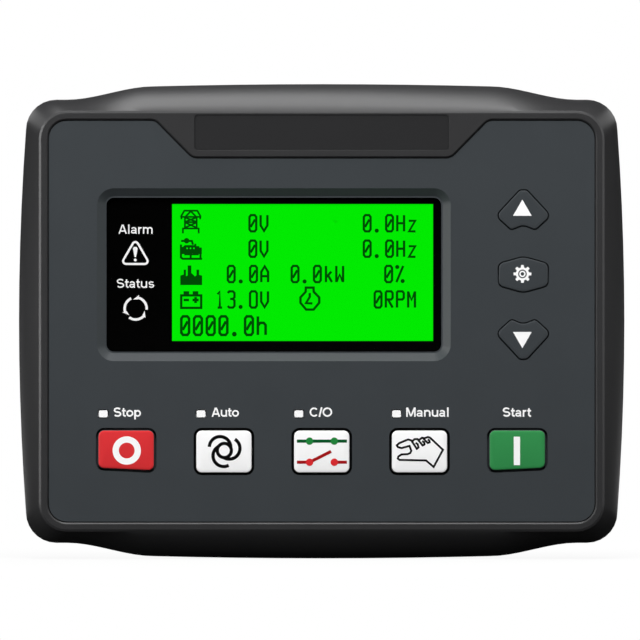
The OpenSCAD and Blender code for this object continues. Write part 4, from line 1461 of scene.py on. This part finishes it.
@dataclass(frozen=True)
class Flag:
    """A dark card that keeps the white surround out of the part's gloss, and blocks no lamp."""

    name: str
    middle: Triple
    across: Triple
    along: Triple
    colour: str = "#050505"
    # Whether it also takes up the light that the floor would throw back at the part
    soaks: bool = False

    def build(self) -> None:
        """Hang the card, seen by reflected rays alone."""
        made = card(self.name, self.middle, self.across, self.along)
        coat(made, Ink(f"matt_card_{self.name}", self.colour, 0.9, specular=0.0))
        made.visible_camera = False
        made.visible_diffuse = self.soaks
        made.visible_transmission = False
        made.visible_shadow = False


@dataclass
class Studio:
    """Camera, soft lamps, white surround and pale floor."""

    lens_mm: float = 1000.0
    sensor_mm: float = 36.0
    # Width of the view at a plane through the bezel, and its centre in mm
    frame_mm: float = 220.77
    centre: Point = (-0.587, 0.432)
    plane_mm: float = -6.0
    clip_end: float = 50.0
    floor_gap_mm: float = 0.2
    floor_side: float = 3.0
    floor_colour: str = "#f2f2f2"
    # Share of plain white in the floor close to the part, and where the floor is all white
    floor_white: float = 0.9
    shade_reach: Pair = (0.12, 0.45)
    ambient: float = 0.06

    LAMPS: ClassVar[tuple[Softbox, ...]] = (
        Softbox("top_softbox", (-0.05, -0.07, 0.9), (0.9, 0.24), 3.3),
        Softbox("left_softbox", (-0.79, -0.43, 0.15), (0.34, 0.6), 3.5),
        Softbox("right_softbox", (0.78, -0.53, 0.1), (0.25, 0.6), 0.75),
        Softbox("front_softbox", (0.0, -0.97, 0.85), (0.6, 0.6), 17.6, polarised=True),
        Softbox("rear_softbox", (0.3, 1.1, 0.5), (0.8, 0.6), 12.0, polarised=True),
    )
    FLAGS: ClassVar[tuple[Flag, ...]] = (
        Flag("front_flag", (0.0, -1.6, 0.0), (1.3, 0.0, 0.0), (0.0, 0.0, 1.2)),
        Flag("floor_flag", (0.0, -0.3, -0.08195), (0.7, 0.0, 0.0), (0.0, 0.6, 0.0), "#262626", True),
        Flag("left_flag", (-1.0, 1.5, 0.05), (0.0, 2.5, 0.0), (0.0, 0.0, 0.35)),
        Flag("right_flag", (1.0, 1.5, 0.05), (0.0, 2.5, 0.0), (0.0, 0.0, 0.35)),
        Flag("top_flag", (0.0, 1.7, 1.2), (1.3, 0.0, 0.0), (0.0, 1.5, 0.0)),
    )

    def camera(self) -> None:
        """Set a long lens level with the part, straight in front of it."""
        data = bpy.data.cameras.new("camera")
        data.lens, data.sensor_width = self.lens_mm, self.sensor_mm
        data.clip_end = self.clip_end
        holder = bpy.data.objects.new("camera", data)
        reach = self.frame_mm * self.lens_mm / self.sensor_mm
        holder.location = Vector((self.centre[0], self.plane_mm - reach, self.centre[1])) * MM
        holder.rotation_euler = (math.radians(90), 0.0, 0.0)
        bpy.context.scene.collection.objects.link(holder)
        bpy.context.scene.camera = holder

    @staticmethod
    def shown(tree: Tree) -> Node:
        """One where a ray comes from the camera, a gloss or a clear sheet, and nought elsewhere.

        Args:
            tree: The node tree that asks.

        Returns:
            The node with the answer.
        """
        rays = add_node(tree, "ShaderNodeLightPath").outputs
        most = {"operation": "MAXIMUM"}
        pair = {0: rays["Is Camera Ray"], 1: rays["Is Glossy Ray"]}
        either = add_node(tree, "ShaderNodeMath", most, pair)
        return add_node(tree, "ShaderNodeMath", most, {0: either, 1: rays["Is Transmission Ray"]})

    def surround(self) -> None:
        """White all round to the eye, and a plain soft fill as light."""
        world = bpy.data.worlds.new("white_surround")
        tree = bare_tree(world)
        reach = {"To Min": self.ambient, "To Max": 1.0}
        level = add_node(tree, "ShaderNodeMapRange", reach, {"Value": self.shown(tree)})
        white = {"Color": linear("#ffffff")}
        glow = add_node(tree, "ShaderNodeBackground", white, {"Strength": level})
        add_node(tree, "ShaderNodeOutputWorld", links={"Surface": glow})
        bpy.context.scene.world = world

    def floor(self, height: float) -> None:
        """Lay a pale floor just under the part.

        Args:
            height: The part's lowest point in metres.
        """
        material = bpy.data.materials.new("pale_studio_floor")
        tree = bare_tree(material)
        matt = {"Base Color": linear(self.floor_colour), "Roughness": 0.9}
        paper = add_node(tree, "ShaderNodeBsdfPrincipled", matt)
        white = add_node(tree, "ShaderNodeEmission", {"Color": linear("#ffffff"), "Strength": 1.0})
        place = add_node(tree, "ShaderNodeTexCoord").outputs["Object"]
        away = add_node(tree, "ShaderNodeVectorMath", {"operation": "LENGTH"}, {0: place})
        near, far = self.shade_reach
        fade = {"From Min": near, "From Max": far, "To Min": self.floor_white, "To Max": 1.0}
        lift = add_node(tree, "ShaderNodeMapRange", fade, {"Value": away.outputs["Value"]})
        both = {0: self.shown(tree), 1: lift}
        share = add_node(tree, "ShaderNodeMath", {"operation": "MULTIPLY"}, both)
        blend = add_node(tree, "ShaderNodeMixShader", links={0: share, 1: paper, 2: white})
        add_node(tree, "ShaderNodeOutputMaterial", links={"Surface": blend})
        half = self.floor_side / 2
        level = height - self.floor_gap_mm * MM
        made = card("floor", (0.0, 0.0, level), (half, 0.0, 0.0), (0.0, half, 0.0))
        made.data.materials.append(material)

    def build(self, height: float) -> None:
        """Set up the whole studio.

        Args:
            height: The part's lowest point in metres.
        """
        self.camera()
        self.surround()
        self.floor(height)
        for piece in (*self.LAMPS, *self.FLAGS):
            piece.build()
        bpy.context.scene.view_settings.view_transform = "Standard"


def main() -> None:
    """Load the frame, set up the studio, and build and dress each sub-assembly."""
    logging.basicConfig(level=logging.INFO, format="%(name)s: %(message)s")
    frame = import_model()
    cad_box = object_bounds()
    for name in ("Cube", "Light", "Camera"):
        spare = bpy.data.objects.get(name)
        if spare:
            bpy.data.objects.remove(spare)
    Studio().build(cad_box[0].z)
    for kind in (Bezel, Display, Keypad, Rear, Terminals, Clips):
        assembly = kind(frame["nodes"])
        assembly.dress()
        assembly.build()
        LOG.info("finished %s", kind.__name__)


if __name__ == "__main__":
    main()
